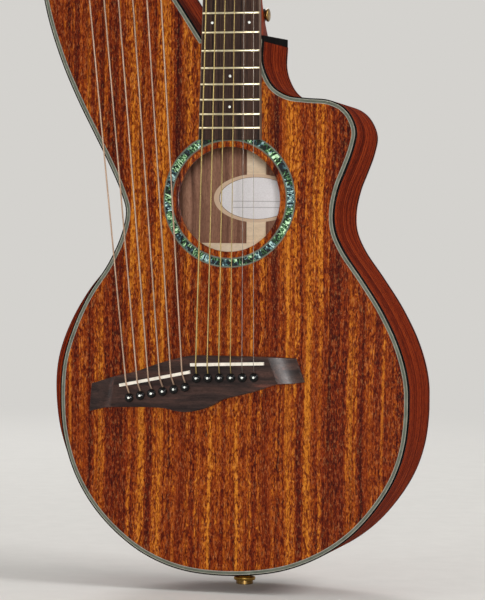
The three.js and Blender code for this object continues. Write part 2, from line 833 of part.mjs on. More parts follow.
function buildHarpHead() {
  const outerTurnShare = 0.4;
  const tipTurnShare = 0.4;
  const innerTurnShare = 0.68;
  const top = harpHeadWidth - harpNutLip;
  const buttZ = armButtZ + touch;
  const outerEnd = flat(armEndOuterShare * boutHalfWidth, buttZ);
  const innerEnd = flat(armEndInnerShare * boutHalfWidth, buttZ);
  const outline = new THREE.Shape();
  const to = (method, ...points) => outline[method](...points.flatMap((p) => [p.x, p.y]));
  to("moveTo", outerEnd);
  const outerStraight = flat(outerEnd.x, harpNutOuter.y - harpHeadWidth / 2);
  to("lineTo", outerStraight);
  const outerTurn = harpHeadWidth * outerTurnShare;
  const tipStart = harpHeadLength - harpHeadWidth * tipTurnShare;
  to("quadraticCurveTo", harpPlace(-outerTurn / 2, top), harpPlace(outerTurn, top));
  to("lineTo", harpPlace(tipStart, top));
  to("quadraticCurveTo", harpPlace(harpHeadLength, top), harpPlace(harpHeadLength, top / 2));
  to("quadraticCurveTo", harpPlace(harpHeadLength, -harpNutLip), harpPlace(tipStart, -harpNutLip));
  to("lineTo", harpPlace(harpNutLength * innerTurnShare, -harpNutLip));
  const corner = harpPlace((innerEnd.x - harpNutOuter.x) / alongNut.x, -harpNutLip);
  to("quadraticCurveTo", flat(innerEnd.x, corner.y), innerEnd);
  const curveSteps = 6;
  const face = plate(outline.getPoints(curveSteps), [], 0, backAt(buttZ) + overrun);

  // The block is as deep as the arm where it closes it, and sweeps up to a thin head for the machines.
  const heelEnd = buttZ + harpHeelRun;
  const sweep = new THREE.Shape();
  const highest = harpPlace(harpHeadLength, harpHeadWidth).y + overrun;
  sweep.moveTo(buttZ, -overrun);
  sweep.lineTo(highest, -overrun);
  sweep.lineTo(highest, headThickness);
  sweep.lineTo(heelEnd, headThickness);
  sweep.bezierCurveTo(
    heelEnd - harpHeelRun / 2,
    headThickness,
    buttZ + harpHeelRun / 2,
    backAt(buttZ),
    buttZ,
    backAt(buttZ),
  );
  const sweepSteps = 8;
  const profile = sweep.getPoints(sweepSteps);
  const wide = bar(profile, -2 * boutHalfWidth, 0);
  const holes = harpPosts.map(postHole);
  add("harp_head", cut(common(face, wide), ...holes), finishes.neck);

  const nutEnds = [-harpNutOverhang, harpNutLength + harpNutOverhang].map((s) =>
    harpPlace(s, harpNutThickness / 2),
  );
  add("harp_nut", strip(...nutEnds, harpNutThickness, -harpNutHeight, -touch), finishes.bone);
}

// String 0 is the outermost harp string or the lowest main string.
const mainAt = (spread, k) => spread * (k / (mainStrings - 1) - 1 / 2);

// The bridge outline: shares of its bass-side reach and of its depth, clockwise from the bass wing.
const bridgeShares = [
  [-0.987, 0.527],
  [-0.804, 0.385],
  [-0.657, 0.3],
  [-0.475, 0.144],
  [-0.293, 0.024],
  [-0.221, 0],
  [0.283, 0.002],
  [0.492, 0.017],
  [0.556, 0.415],
  [0.456, 0.449],
  [0.371, 0.459],
  [0.321, 0.492],
  [0.215, 0.584],
  [0.072, 0.678],
  [-0.014, 0.733],
  [-0.107, 0.858],
  [-0.215, 0.941],
  [-0.288, 0.964],
  [-0.361, 0.952],
  [-0.44, 0.91],
  [-0.727, 0.908],
  [-0.883, 0.931],
  [-1, 1],
];
const bridgePoint = ([across, down]) => flat(across * bridgeReach, -bridgeTop - down * bridgeDrop);
const bassStepShare = -0.814;
const trebleStepShares = [
  [0.299, -0.2],
  [0.305, 0.02],
  [0.378, 0.438],
  [0.378, 1.2],
];

// Each saddle is a strip, with some length beyond its outer strings.
const mainSaddleAt = (x) => flat(x, saddleZ + (x * mainSaddleSlant) / (mainSaddleBass + mainSaddleTreble));
const mainSaddleEnds = [mainSaddleAt(-mainSaddleBass), mainSaddleAt(mainSaddleTreble)];
const harpSaddleOuter = flat(-harpSaddleFar, saddleZ - harpSaddleFarDrop);
const harpSaddleInner = flat(-harpSaddleNear, saddleZ - harpSaddleNearDrop);
const harpSaddleEnds = [
  [harpSaddleOuter, harpSaddleInner],
  [harpSaddleInner, harpSaddleOuter],
].map(([end, other]) => end.clone().add(end.clone().sub(other).setLength(harpSaddleMargin)));

function saddleBlank([from, to], grow, top, bottom) {
  const beyond = to.clone().sub(from).setLength(grow);
  return strip(from.clone().sub(beyond), to.clone().add(beyond), saddleThickness + 2 * grow, top, bottom);
}

const bridgeFace = -(touch + bridgeThickness);
const pinSides = 8;
const mainSaddlePoint = (k) => mainSaddleAt(mainAt(mainSpreadAtSaddle, k));
const harpSaddlePoint = (k) => harpSaddleOuter.clone().lerp(harpSaddleInner, k / (harpStrings - 1));
const mainPin = (k) => mainSaddlePoint(k).sub(flat(0, mainPinsPastSaddle));
const harpPin = (k) => harpSaddlePoint(k).add(flat(harpPinShift, -harpPinsPastSaddle));
function pinAt({ x, y: z }) {
  const sunk = 1;
  const baseShare = 0.8;
  const crownShare = 0.55;
  const head = [
    [0, bridgeFace + sunk],
    [pinHeadRadius * baseShare, bridgeFace + sunk],
    [pinHeadRadius, bridgeFace - pinHeadHeight / 2],
    [pinHeadRadius * crownShare, bridgeFace - pinHeadHeight],
    [0, bridgeFace - pinHeadHeight],
  ];
  return turned(head.reverse(), pinSides).translate(x, 0, z);
}

function buildBridge() {
  const outline = bridgeShares.map(bridgePoint);
  const low = plate(outline, [], -(touch + wingThickness), -touch);
  const full = plate(outline, [], bridgeFace, -touch);
  const stepX = bassStepShare * bridgeReach;
  const middle = plate(
    [
      flat(stepX, -bridgeTop - 2 * bridgeDrop),
      flat(stepX, -bridgeTop + bridgeDrop),
      ...trebleStepShares.map(bridgePoint),
    ],
    [],
    bridgeFace - overrun,
    overrun,
  );
  const floor = -(touch + bridgeThickness) + saddleSink;
  const slots = [mainSaddleEnds, harpSaddleEnds].map((ends) =>
    saddleBlank(ends, touch, bridgeFace - overrun, floor + touch),
  );
  const carved = cut(join(low, common(full, middle)), ...slots);
  const pins = [];
  for (let k = 0; k < mainStrings; k += 1) pins.push(pinAt(mainPin(k)));
  for (let k = 0; k < harpStrings; k += 1) pins.push(pinAt(harpPin(k)));
  add("bridge", join(carved, ...pins), finishes.rosewood);
  add("main_saddle", saddleBlank(mainSaddleEnds, 0, -saddleHeight, floor), finishes.bone);
  add("harp_saddle", saddleBlank(harpSaddleEnds, 0, -saddleHeight, floor), finishes.bone);
}

// A string bends where it crosses the nut and the saddle; its rings stand square to the string's overall run.
const stringSides = 6;
function stringTube(points, gauge) {
  const run = points.at(-1).clone().sub(points[0]).normalize();
  const side = new THREE.Vector3(0, 1, 0).cross(run).normalize();
  const up = new THREE.Vector3().crossVectors(run, side);
  return loft(
    points.map((p) =>
      Array.from({ length: stringSides }, (_, k) => {
        const turn = ((k + 0.5) / stringSides) * 2 * Math.PI;
        return p
          .clone()
          .addScaledVector(side, (gauge / 2) * Math.cos(turn))
          .addScaledVector(up, (gauge / 2) * Math.sin(turn));
      }),
    ),
  );
}

function buildStrings() {
  const stringEnd = ({ x, y: z }, gauge) =>
    new THREE.Vector3(x, bridgeFace - touch - gauge, z + pinHeadRadius + touch + gauge);
  const wound = 4;
  for (let k = 0; k < mainStrings; k += 1) {
    const gauge = mainGauges[k];
    const post = mainPosts[k < perSide ? k : mainStrings + perSide - 1 - k];
    const atNut = mainAt(mainSpreadAtNut, k);
    const lift = gauge / 2 + touch;
    const beside = post.x - post.side * (postWaist + touch + gauge / 2);
    const wind = new THREE.Vector3(beside, -windHeight, post.z).applyMatrix4(headFrame.matrixWorld);
    const points = [
      stringEnd(mainPin(k), gauge),
      new THREE.Vector3(mainSaddlePoint(k).x, -(saddleHeight + lift), mainSaddlePoint(k).y),
      new THREE.Vector3(atNut, -(nutHeight + lift), nutThickness / 2),
      new THREE.Vector3(atNut, -(nutHeight + lift), nutThickness),
      wind,
    ];
    const metal = k < wound ? finishes.bronze : finishes.steel;
    add("main_string_" + (mainStrings - k), stringTube(points, gauge), metal);
  }
  for (let k = 0; k < harpStrings; k += 1) {
    const lift = harpGauge / 2 + touch;
    const atSaddle = harpSaddlePoint(k);
    const onNut = harpPlace(k * harpSpacing, harpNutThickness / 2);
    const offNut = harpPlace(k * harpSpacing, harpNutThickness);
    const post = harpPosts[k];
    const points = [
      stringEnd(harpPin(k), harpGauge),
      new THREE.Vector3(atSaddle.x, -(saddleHeight + lift), atSaddle.y),
      new THREE.Vector3(onNut.x, -(harpNutHeight + lift), onNut.y),
      new THREE.Vector3(offNut.x, -(harpNutHeight + lift), offNut.y),
      new THREE.Vector3(post.x + postWaist + touch + harpGauge / 2, -windHeight, post.z),
    ];
    add("harp_string_" + (k + 1), stringTube(points, harpGauge), finishes.bronze);
  }
}

// A tuning machine, drawn round its post: Y points out of the head's back, X towards the button and Z along
// the plate.
const wormOffset = gearPitchRadius + wormPitchRadius;
const lead = (2 * Math.PI * gearPitchRadius) / gearTeeth;
const wormOuter = wormPitchRadius + toothAbove;
const plateBack = touch + platesThickness;
const gearMiddle = plateBack + running + wormOuter;
const gearFront = gearMiddle - gearWidth / 2;
const gearBack = gearMiddle + gearWidth / 2;
const leadTwist = lead / (2 * Math.PI * wormPitchRadius * gearPitchRadius);

function gearBlank() {
  const rings = [gearFront, gearBack].map((y) => {
    const twist = (y - gearMiddle) * leadTwist;
    const ring = [];
    for (let k = 0; k < gearTeeth; k += 1) {
      const middle = (k / gearTeeth) * 2 * Math.PI + twist;
      const outer = gearPitchRadius + toothAbove;
      const tip = toothTipHalf / outer;
      [
        [gearPitchRadius - toothBelow, middle - Math.PI / gearTeeth],
        [outer, middle - tip],
        [outer, middle + tip],
      ].forEach(([r, a]) => ring.push(new THREE.Vector3(r * Math.sin(a), y, r * Math.cos(a))));
    }
    return ring;
  });
  return loft(rings);
}

function postGeometry() {
  const front = -(headThickness + postProud);
  const waistAt = -(headThickness + windHeight);
  const waistReach = 2;
  const screwRadius = 1.8;
  const screwProud = 0.9;
  const shaft = turned(
    [
      [0, front],
      [postRadius - postChamfer, front],
      [postRadius, front + postChamfer],
      [postRadius, waistAt - waistReach],
      [postWaist, waistAt],
      [postRadius, waistAt + waistReach],
      [postRadius, gearFront + touch],
      [screwRadius, gearFront + touch],
      [screwRadius, gearBack + screwProud],
      [0, gearBack + screwProud],
    ],
    tunerSides,
  );
  return join(shaft, gearBlank());
}

function wormGeometry() {
  // The thread's crest faces the wheel half a lead to each side of the wheel's middle tooth.
  const facingTurn = -0.25;
  const facingLeads = 0.5;
  const stepsBefore = 10;
  const steps = 15;
  const sunk = wormCore / 4;
  const rings = [];
  for (let k = 0; k <= steps; k += 1) {
    const turn = (k - stepsBefore) / wormSides;
    const x = lead * (turn + facingLeads);
    const angle = (turn + facingTurn) * 2 * Math.PI;
    const section = [
      [x - threadRootHalf, wormCore - sunk],
      [x - threadTipHalf, wormOuter],
      [x + threadTipHalf, wormOuter],
      [x + threadRootHalf, wormCore - sunk],
    ];
    const out = flat(Math.cos(angle), Math.sin(angle));
    rings.push(
      section.map(([at, r]) => new THREE.Vector3(at, gearMiddle + r * out.x, wormOffset + r * out.y)),
    );
  }
  const inner = -(earGap + earThickness + touch);
  const buttonStart = postInset + buttonGap;
  const buttonEnd = buttonStart + buttonLength;
  const shaft = turned(
    [
      [0, inner],
      [wormCore, inner],
      [wormCore, buttonStart + touch],
      [0, buttonStart + touch],
    ],
    wormSides,
  ).rotateY(Math.PI / wormSides);
  const buttonShares = [
    [0.36, 0],
    [0.4, 0.14],
    [0.94, 0.4],
    [0.96, 0.75],
    [0.5, 1],
  ];
  const grip = buttonShares.map(([r, x]) => [r * buttonHalfWidth, lerp(buttonStart, buttonEnd, x)]);
  const button = turned([[0, buttonStart], ...grip, [0, buttonEnd]], tunerSides).scale(1, 1, buttonFlat);
  const spindle = join(shaft, button)
    .rotateZ(-Math.PI / 2)
    .rotateX(Math.PI / 2)
    .translate(0, gearMiddle, wormOffset);
  return join(spindle, loft(rings));
}

function machinePlate(places) {
  const first = Math.min(...places) - plateMargin;
  const last = Math.max(...places) + wormOffset + plateMargin;
  const corner = plateHalfWidth / 3;
  const outline = [
    flat(-plateHalfWidth + corner, first),
    flat(plateHalfWidth - corner, first),
    flat(plateHalfWidth, first + corner),
    flat(plateHalfWidth, last - corner),
    flat(plateHalfWidth - corner, last),
    flat(-plateHalfWidth + corner, last),
    flat(-plateHalfWidth, last - corner),
    flat(-plateHalfWidth, first + corner),
  ];
  const holes = places.map((z) => circle(postRadius + running, tunerSides, 0, z));
  const top = gearMiddle + earHalfWidth;
  const ears = places.flatMap((z) =>
    [-(earGap + earThickness), earGap].map((x) => {
      const middle = z + wormOffset;
      const shape = new THREE.Shape([
        flat(middle - earHalfWidth, plateBack - touch),
        flat(middle - earHalfWidth, top - earHalfWidth / 2),
        flat(middle - earHalfWidth / 2, top),
        flat(middle + earHalfWidth / 2, top),
        flat(middle + earHalfWidth, top - earHalfWidth / 2),
        flat(middle + earHalfWidth, plateBack - touch),
      ]);
      shape.holes = [new THREE.Path(circle(wormCore + running, tunerSides, middle, gearMiddle))];
      return new THREE.ExtrudeGeometry(shape, { depth: earThickness, bevelEnabled: false })
        .rotateY(-Math.PI / 2)
        .translate(x + earThickness, 0, 0);
    }),
  );
  return join(plate(outline, holes, touch, plateBack), ...ears);
}

function buildMachines() {
  const post = postGeometry();
  const worm = wormGeometry();
  for (const sign of [-1, 1]) {
    const side = sign < 0 ? "bass" : "treble";
    const frameOf = (z) => {
      const seat = new THREE.Group();
      seat.position.set(sign * (headHalfWidth - postInset), headThickness, z);
      seat.scale.x = sign;
      headFrame.add(seat);
      return seat;
    };
    add(side + "_tuner_plate", machinePlate(mainPostPlaces), finishes.gold, frameOf(0));
    mainPostPlaces.forEach((z, k) => {
      add(side + "_tuner_post_" + (k + 1), post, finishes.gold, frameOf(z));
      add(side + "_tuner_button_" + (k + 1), worm, finishes.gold, frameOf(z));
    });
  }
  const harpSeat = new THREE.Group();
  const last = harpPosts.at(-1);
  harpSeat.position.set(last.x, headThickness, last.z);
  harpSeat.rotation.y = harpTurn;
  guitar.add(harpSeat);
  const harpPlaces = harpPosts.map((_, k) => k * harpSpacing);
  add("harp_tuner_plate", machinePlate(harpPlaces), finishes.gold, harpSeat);
  harpPlaces.forEach((z, k) => {
    const name = harpStrings - k;
    add("harp_tuner_post_" + name, post, finishes.gold, harpSeat).position.z = z;
    add("harp_tuner_button_" + name, worm, finishes.gold, harpSeat).position.z = z;
  });
}

function buildButtons() {
  const strapShares = { waistFrom: 0.35, waistTo: 0.6, flangeFrom: 0.75 };
  const strap = turned(
    [
      [0, 0],
      [strapBase, 0],
      [strapWaist, strapLength * strapShares.waistFrom],
      [strapWaist, strapLength * strapShares.waistTo],
      [strapFlange, strapLength * strapShares.flangeFrom],
      [strapFlange, strapLength],
      [0, strapLength],
    ],
    buttonSides,
  )
    .rotateZ(-Math.PI / 2)
    .translate(strapSeatX + touch, strapDepth, strapZ);
  add("strap_button", strap, finishes.gold);

  const tailZ = Math.min(...rim.map((p) => p.y)) - touch;
  const pinShares = { baseTo: 0.12, waistFrom: 0.22, waistTo: 0.48, flangeFrom: 0.56, flangeTo: 0.76 };
  const endPin = turned(
    [
      [0, 0],
      [endPinBase, 0],
      [endPinBase, endPinLength * pinShares.baseTo],
      [endPinWaist, endPinLength * pinShares.waistFrom],
      [endPinWaist, endPinLength * pinShares.waistTo],
      [endPinFlange, endPinLength * pinShares.flangeFrom],
      [endPinFlange, endPinLength * pinShares.flangeTo],
      [endPinNut, endPinLength * pinShares.flangeTo],
      [endPinNut, endPinLength],
      [0, endPinLength],
    ],
    buttonSides,
  )
    .rotateX(-Math.PI / 2)
    .translate(0, endPinDepth, tailZ);
  add("end_pin", endPin, finishes.gold);
}

buildBody();
buildTopBracing();
buildBackBracing();
buildBlocks();
buildNeck();
buildFretboard();
buildHarpHead();
buildBridge();
buildStrings();
buildMachines();
buildButtons();
export default guitar;
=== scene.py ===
import math

import bmesh
import bpy
from mathutils import Matrix, Vector, noise
from mathutils.geometry import tessellate_polygon


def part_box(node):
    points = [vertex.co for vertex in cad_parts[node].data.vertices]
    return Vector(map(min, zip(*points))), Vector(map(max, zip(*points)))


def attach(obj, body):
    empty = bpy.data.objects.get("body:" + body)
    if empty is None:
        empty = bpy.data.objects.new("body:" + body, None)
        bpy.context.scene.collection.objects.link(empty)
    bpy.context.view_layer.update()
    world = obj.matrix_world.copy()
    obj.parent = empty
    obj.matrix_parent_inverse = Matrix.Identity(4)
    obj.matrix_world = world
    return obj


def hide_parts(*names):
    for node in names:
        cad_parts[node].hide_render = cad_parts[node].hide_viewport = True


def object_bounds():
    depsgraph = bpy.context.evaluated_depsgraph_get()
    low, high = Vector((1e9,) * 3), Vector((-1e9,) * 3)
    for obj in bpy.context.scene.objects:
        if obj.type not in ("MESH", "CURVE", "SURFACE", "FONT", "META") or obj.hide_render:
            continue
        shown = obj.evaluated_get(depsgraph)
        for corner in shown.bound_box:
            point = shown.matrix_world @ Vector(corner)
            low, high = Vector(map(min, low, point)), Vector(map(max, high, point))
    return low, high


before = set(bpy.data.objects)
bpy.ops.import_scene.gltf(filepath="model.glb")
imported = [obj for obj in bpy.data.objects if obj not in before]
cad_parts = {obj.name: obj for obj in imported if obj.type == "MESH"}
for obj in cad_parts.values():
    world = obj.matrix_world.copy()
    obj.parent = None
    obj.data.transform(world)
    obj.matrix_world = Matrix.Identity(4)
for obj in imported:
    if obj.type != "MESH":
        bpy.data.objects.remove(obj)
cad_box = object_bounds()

# Sizes in millimetres, as the solids have them. X is the treble side, Y goes into the body, Z up the neck.
MM = 0.001
TOUCH = 0.3
SCALE_LENGTH = 632
FRETS = 18
BOARD_TOP = -6.3
JOINT_Z = -321
BODY_LENGTH = 522
BOUT = 180
DEPTH_AT_JOINT = 101.6
TAPER = (114.3 - DEPTH_AT_JOINT) / BODY_LENGTH
PLATE = 3
JOINT_HALF = 31
HOLE = Vector((-1.2, JOINT_Z - 156.7))
HOLE_R = 51
ARM = 211
ARM_Z = JOINT_Z + ARM
HEAD_TILT = math.radians(13)
HEAD_LENGTH = 142
HEAD_HALF = 36
HEAD_TIP_HALF = 33
HEAD_THICK = 15
NUT = 5
POST_INSET = 13
SADDLE_Z = -638
BRIDGE_TOP_Z = -630
BRIDGE_REACH = 139.8
BRIDGE_DROP = 57.7
BRIDGE_FACE = -9.3
WING_FACE = -5.3
SADDLE_TOP = -12.2
GEAR_MIDDLE = 4.45
WORM_OFFSET = 6.95


def back_at(z):
    return DEPTH_AT_JOINT + TAPER * (JOINT_Z - z)


def fret_at(n):
    return -SCALE_LENGTH * (1 - 2 ** (-n / 12))


def board_half(z):
    return 23 + (29.2 - 23) * z / fret_at(12)


def mix(a, b, t):
    return a + (b - a) * t


# ---------------------------------------------------------------- materials
def srgb(r, g, b):
    def linear(c):
        c /= 255
        return c / 12.92 if c <= 0.04045 else ((c + 0.055) / 1.055) ** 2.4

    return (linear(r), linear(g), linear(b), 1)


class Look:
    """A material whose nodes are added and linked by short calls."""

    def __init__(self, name, rough=0.5, metal=0.0, coat=0.0, coat_rough=0.1, specular=0.5):
        self.material = bpy.data.materials.new(name)
        self.material.use_nodes = True
        self.tree = self.material.node_tree
        self.shader = self.tree.nodes["Principled BSDF"]
        for socket, value in (
            ("Roughness", rough),
            ("Metallic", metal),
            ("Coat Weight", coat),
            ("Coat Roughness", coat_rough),
            ("Specular IOR Level", specular),
        ):
            self.shader.inputs[socket].default_value = value

    def node(self, kind, inputs=(), **settings):
        made = self.tree.nodes.new("ShaderNode" + kind)
        for key, value in settings.items():
            setattr(made, key, value)
        for key, value in dict(inputs).items():
            if isinstance(value, bpy.types.NodeSocket):
                self.tree.links.new(value, made.inputs[key])
            else:
                made.inputs[key].default_value = value
        return made

    def math(self, operation, a, b=0.0):
        return self.node("Math", {0: a, 1: b}, operation=operation).outputs[0]

    def place(self, scale, source="Object"):
        at = self.node("TexCoord").outputs[source]
        return self.node("Mapping", {"Vector": at, "Scale": scale}).outputs[0]

    def noise(self, vector, scale=1.0, detail=3.0, rough=0.5, distortion=0.0):
        return self.node(
            "TexNoise",
            {"Vector": vector, "Scale": scale, "Detail": detail, "Roughness": rough, "Distortion": distortion},
        ).outputs["Fac"]

    def ramp(self, factor, stops):
        made = self.node("ValToRGB", {"Fac": factor})
        elements = made.color_ramp.elements
        while len(elements) < len(stops):
            elements.new(0.5)
        for element, (at, colour) in zip(elements, stops):
            element.position = at
            element.color = colour
        return made.outputs["Color"]

    def blend(self, factor, a, b, kind="MIX"):
        made = self.node("Mix", {0: factor}, data_type="RGBA", blend_type=kind)
        for index, value in ((6, a), (7, b)):
            if isinstance(value, bpy.types.NodeSocket):
                self.tree.links.new(value, made.inputs[index])
            else:
                made.inputs[index].default_value = value
        return made.outputs[2]

    def colour(self, value):
        if isinstance(value, bpy.types.NodeSocket):
            self.tree.links.new(value, self.shader.inputs["Base Color"])
        else:
            self.shader.inputs["Base Color"].default_value = value
        return self

    def roughness(self, factor, low, high):
        made = self.node("MapRange", {"Value": factor, "To Min": low, "To Max": high})
        self.tree.links.new(made.outputs[0], self.shader.inputs["Roughness"])
        return self

    def bump(self, height, strength, distance):
        made = self.node("Bump", {"Height": height, "Strength": strength, "Distance": distance})
        self.tree.links.new(made.outputs[0], self.shader.inputs["Normal"])
        return self


def grained(name, stops, along, across, source="Object", mirror=False, flecks=0.35, pores=0.4, painted_glints=0.0, **finish):
    """Figured wood. `across` lists the axes over the grain, in cycles a metre, and `along` the one along it."""
    look = Look(name, **finish)
    at = look.node("TexCoord").outputs[source]
    parts = look.node("SeparateXYZ", {0: at})
    x, y, z = parts.outputs
    if mirror:
        x = look.math("ABSOLUTE", x)
        seam = look.math("MULTIPLY", look.math("SIGN", parts.outputs[0]), 0.004)
        x = look.math("ADD", x, seam)
    axes = {"x": x, "y": y, "z": z}
    run = axes.pop(along)
    names = sorted(axes)
    sway = look.noise(look.node("CombineXYZ", {0: run, 1: 0.3}).outputs[0], 9.0, 1.0)
    moved = [look.math("ADD", axes[n], look.math("MULTIPLY", sway, 0.012)) for n in names]

    def stretched(over, down, detail, rough=0.55, distortion=0.0):
        vector = look.node(
            "CombineXYZ",
            {
                0: look.math("MULTIPLY", moved[0], over),
                1: look.math("MULTIPLY", moved[1], over * 0.35),
                2: look.math("MULTIPLY", run, down),
            },
        ).outputs[0]
        return look.noise(vector, 1.0, detail, rough, distortion)

    bands = stretched(across * 0.8, 1.2, 2.0)
    streaks = stretched(across * 1.7, 1.3, 3.0, 0.62)
    lines = stretched(across * 3.6, 3.0, 3.0, 0.6)
    curly = stretched(across * 0.9, 5.0, 1.0)
    curls = stretched(across * 5.5, 160.0, 3.0, 0.6, 1.0)
    specks = stretched(across * 8, 260.0, 2.0, 0.6, 0.8)
    value = look.math("ADD", look.math("MULTIPLY", bands, 0.28), look.math("MULTIPLY", streaks, 0.5))
    value = look.math("ADD", value, look.math("MULTIPLY", lines, 0.22))
    amount = look.math("MULTIPLY", look.math("SUBTRACT", curly, 0.2), 2.0 * flecks)
    value = look.math("ADD", value, look.math("MULTIPLY", look.math("SUBTRACT", curls, 0.5), amount))
    base = look.ramp(value, stops)
    fleck = look.ramp(curls, [(0.42, (1, 1, 1, 1)), (0.49, (0, 0, 0, 1))])
    base = look.blend(look.math("MULTIPLY", fleck, flecks), base, (0.34, 0.2, 0.16, 1), "MULTIPLY")
    pore = look.ramp(specks, [(0.38, (1, 1, 1, 1)), (0.52, (0, 0, 0, 1))])
    dark = look.blend(look.math("MULTIPLY", pore, pores), base, (0.34, 0.2, 0.16, 1), "MULTIPLY")
    edge = look.math("ABSOLUTE", look.math("SUBTRACT", stretched(across * 0.75, 0.9, 1.0), 0.5))
    thin = look.ramp(edge, [(0.0, (1, 1, 1, 1)), (0.026, (0, 0, 0, 1))])
    dark = look.blend(look.math("MULTIPLY", thin, pores), dark, (0.42, 0.3, 0.28, 1), "MULTIPLY")
    # Painted highlights: pale specks in a highlight colour stand in for glints of light on the figure.
    painted_glint = look.ramp(specks, [(0.56, (0, 0, 0, 1)), (0.68, (1, 1, 1, 1))])
    look.colour(look.blend(look.math("MULTIPLY", painted_glint, painted_glints), dark, srgb(206, 150, 92)))
    look.roughness(lines, finish.get("rough", 0.4) - 0.05, finish.get("rough", 0.4) + 0.1)
    look.bump(specks, 0.08, 0.0002)
    return look.material


TOP_STOPS = [
    (0.39, srgb(66, 15, 4)),
    (0.46, srgb(96, 28, 6)),
    (0.508, srgb(120, 43, 7)),
    (0.56, srgb(145, 67, 12)),
    (0.62, srgb(188, 113, 28)),
]
SIDE_STOPS = [
    (0.36, srgb(56, 10, 3)),
    (0.46, srgb(96, 26, 7)),
    (0.54, srgb(130, 42, 12)),
    (0.64, srgb(164, 68, 24)),
]
NECK_STOPS = [
    (0.34, srgb(66, 16, 8)),
    (0.48, srgb(104, 34, 16)),
    (0.60, srgb(134, 52, 26)),
    (0.70, srgb(156, 72, 36)),
]
RAW_STOPS = [
    (0.34, srgb(104, 70, 54)),
    (0.46, srgb(140, 98, 78)),
    (0.56, srgb(164, 120, 96)),
    (0.68, srgb(190, 148, 122)),
]
SPRUCE_STOPS = [
    (0.3, srgb(222, 196, 160)),
    (0.5, srgb(240, 214, 182)),
    (0.7, srgb(250, 230, 204)),
]
EBONY_STOPS = [
    (0.37, srgb(24, 16, 14)),
    (0.47, srgb(44, 31, 26)),
    (0.56, srgb(64, 46, 37)),
    (0.66, srgb(96, 72, 58)),
]
BRIDGE_STOPS = [
    (0.38, srgb(26, 14, 12)),
    (0.47, srgb(46, 31, 27)),
    (0.56, srgb(66, 44, 37)),
    (0.66, srgb(104, 60, 48)),
]

top_wood = grained("top_wood", TOP_STOPS, "z", 95, mirror=True, flecks=0.55, pores=0.75, painted_glints=0.2, rough=0.32, coat=0.08, specular=0.06)
side_wood = grained("side_wood", SIDE_STOPS, "x", 210, "UV", flecks=0.5, rough=0.4, coat=0.03, specular=0)
back_wood = grained("back_wood", SIDE_STOPS, "z", 80, mirror=True, flecks=0.4, rough=0.34, coat=0.3, specular=0.3)
neck_wood = grained("neck_wood", NECK_STOPS, "z", 110, flecks=0.15, rough=0.36, coat=0.12, specular=0)
raw_wood = grained("raw_wood", RAW_STOPS, "z", 160, mirror=True, flecks=0.15, rough=0.75, specular=0.3)
raw_side = grained("raw_side", RAW_STOPS, "x", 160, "UV", flecks=0.15, rough=0.75, specular=0.3)
spruce = grained("spruce", SPRUCE_STOPS, "x", 300, flecks=0.06, pores=0.1, rough=0.7, specular=0.3)
spruce_long = grained("spruce_long", SPRUCE_STOPS, "z", 300, flecks=0.06, pores=0.1, rough=0.7, specular=0.3)
board_wood = grained("board_wood", EBONY_STOPS, "z", 330, flecks=0.2, pores=0.6, rough=0.5, specular=0.1)
bridge_wood = grained("bridge_wood", BRIDGE_STOPS, "x", 240, flecks=0.12, pores=0.5, rough=0.3, specular=0.22)
veneer = grained("head_veneer", EBONY_STOPS, "z", 240, flecks=0.1, rough=0.36, coat=0.25, coat_rough=0.1, specular=0.2)


def plain(name, dark, light, scale, rough, **finish):
    """A near-even finish with a slow mottle, a fine grain and uneven gloss."""
    look = Look(name, rough=rough, **finish)
    at = look.place((scale, scale, scale))
    mottle = look.noise(at, 1.0, 5.0, 0.6)
    look.colour(look.ramp(mottle, [(0.3, dark), (0.7, light)]))
    look.roughness(mottle, max(rough - 0.08, 0.02), rough + 0.1)
    look.bump(look.noise(at, 9.0, 3.0), 0.05, 0.0002)
    return look.material


def brushed(name, dark, light, rough, stretch):
    """Plated metal with fine brushing that varies its tone, and uneven gloss."""
    look = Look(name, rough=rough, metal=1.0)
    lines = look.noise(look.place(stretch), 1.0, 3.0, 0.6)
    look.colour(look.ramp(lines, [(0.25, dark), (0.75, light)]))
    look.roughness(look.noise(look.place((240, 240, 240)), 1.0, 3.0), rough - 0.06, rough + 0.12)
    look.bump(lines, 0.04, 0.0001)
    return look.material


def wound(name, dark, light, pitch):
    """A string's winding: its turns follow the length, which the second texture coordinate measures."""
    look = Look(name, rough=0.38, metal=0.5)
    at = look.node("TexCoord").outputs["UV"]
    turns = look.node("Mapping", {"Vector": at, "Scale": (1 / pitch / 6.2832, 1 / pitch, 1)}).outputs[0]
    wave = look.node(
        "TexWave", {"Vector": turns, "Scale": 1.0, "Distortion": 0.0}, wave_type="BANDS", bands_direction="Y"
    ).outputs["Fac"]
    worn = look.noise(look.place((60, 60, 14)), 1.0, 3.0)
    tone = look.math("ADD", look.math("MULTIPLY", wave, 0.5), look.math("MULTIPLY", worn, 0.5))
    look.colour(look.ramp(tone, [(0.25, dark), (0.75, light)]))
    look.bump(wave, 0.3, 0.0001)
    return look.material


binding_grey = plain("binding_grey", srgb(76, 80, 70), srgb(104, 108, 96), 90, 0.35, specular=0.1)
binding_black = plain("binding_black", srgb(8, 7, 7), srgb(20, 17, 16), 60, 0.4, coat=0.03, specular=0)
silver_line = plain("silver_line", srgb(124, 124, 112), srgb(158, 156, 144), 150, 0.35, specular=0.1)
board_edge = plain("board_edge", srgb(78, 62, 52), srgb(110, 90, 76), 120, 0.45, specular=0.1)
bone = plain("bone", srgb(206, 197, 182), srgb(232, 224, 211), 160, 0.36)
black_plastic = plain("black_plastic", srgb(3, 3, 3), srgb(10, 10, 10), 200, 0.2, coat=0.25, coat_rough=0.04, specular=0.1)
pearl = plain("pearl", srgb(206, 214, 206), srgb(246, 244, 236), 900, 0.18, coat=0.8, coat_rough=0.05)
felt = plain("felt", srgb(18, 16, 16), srgb(44, 38, 36), 1500, 0.9)
gold = brushed("gold", srgb(176, 132, 58), srgb(226, 184, 96), 0.26, (300, 300, 2400))
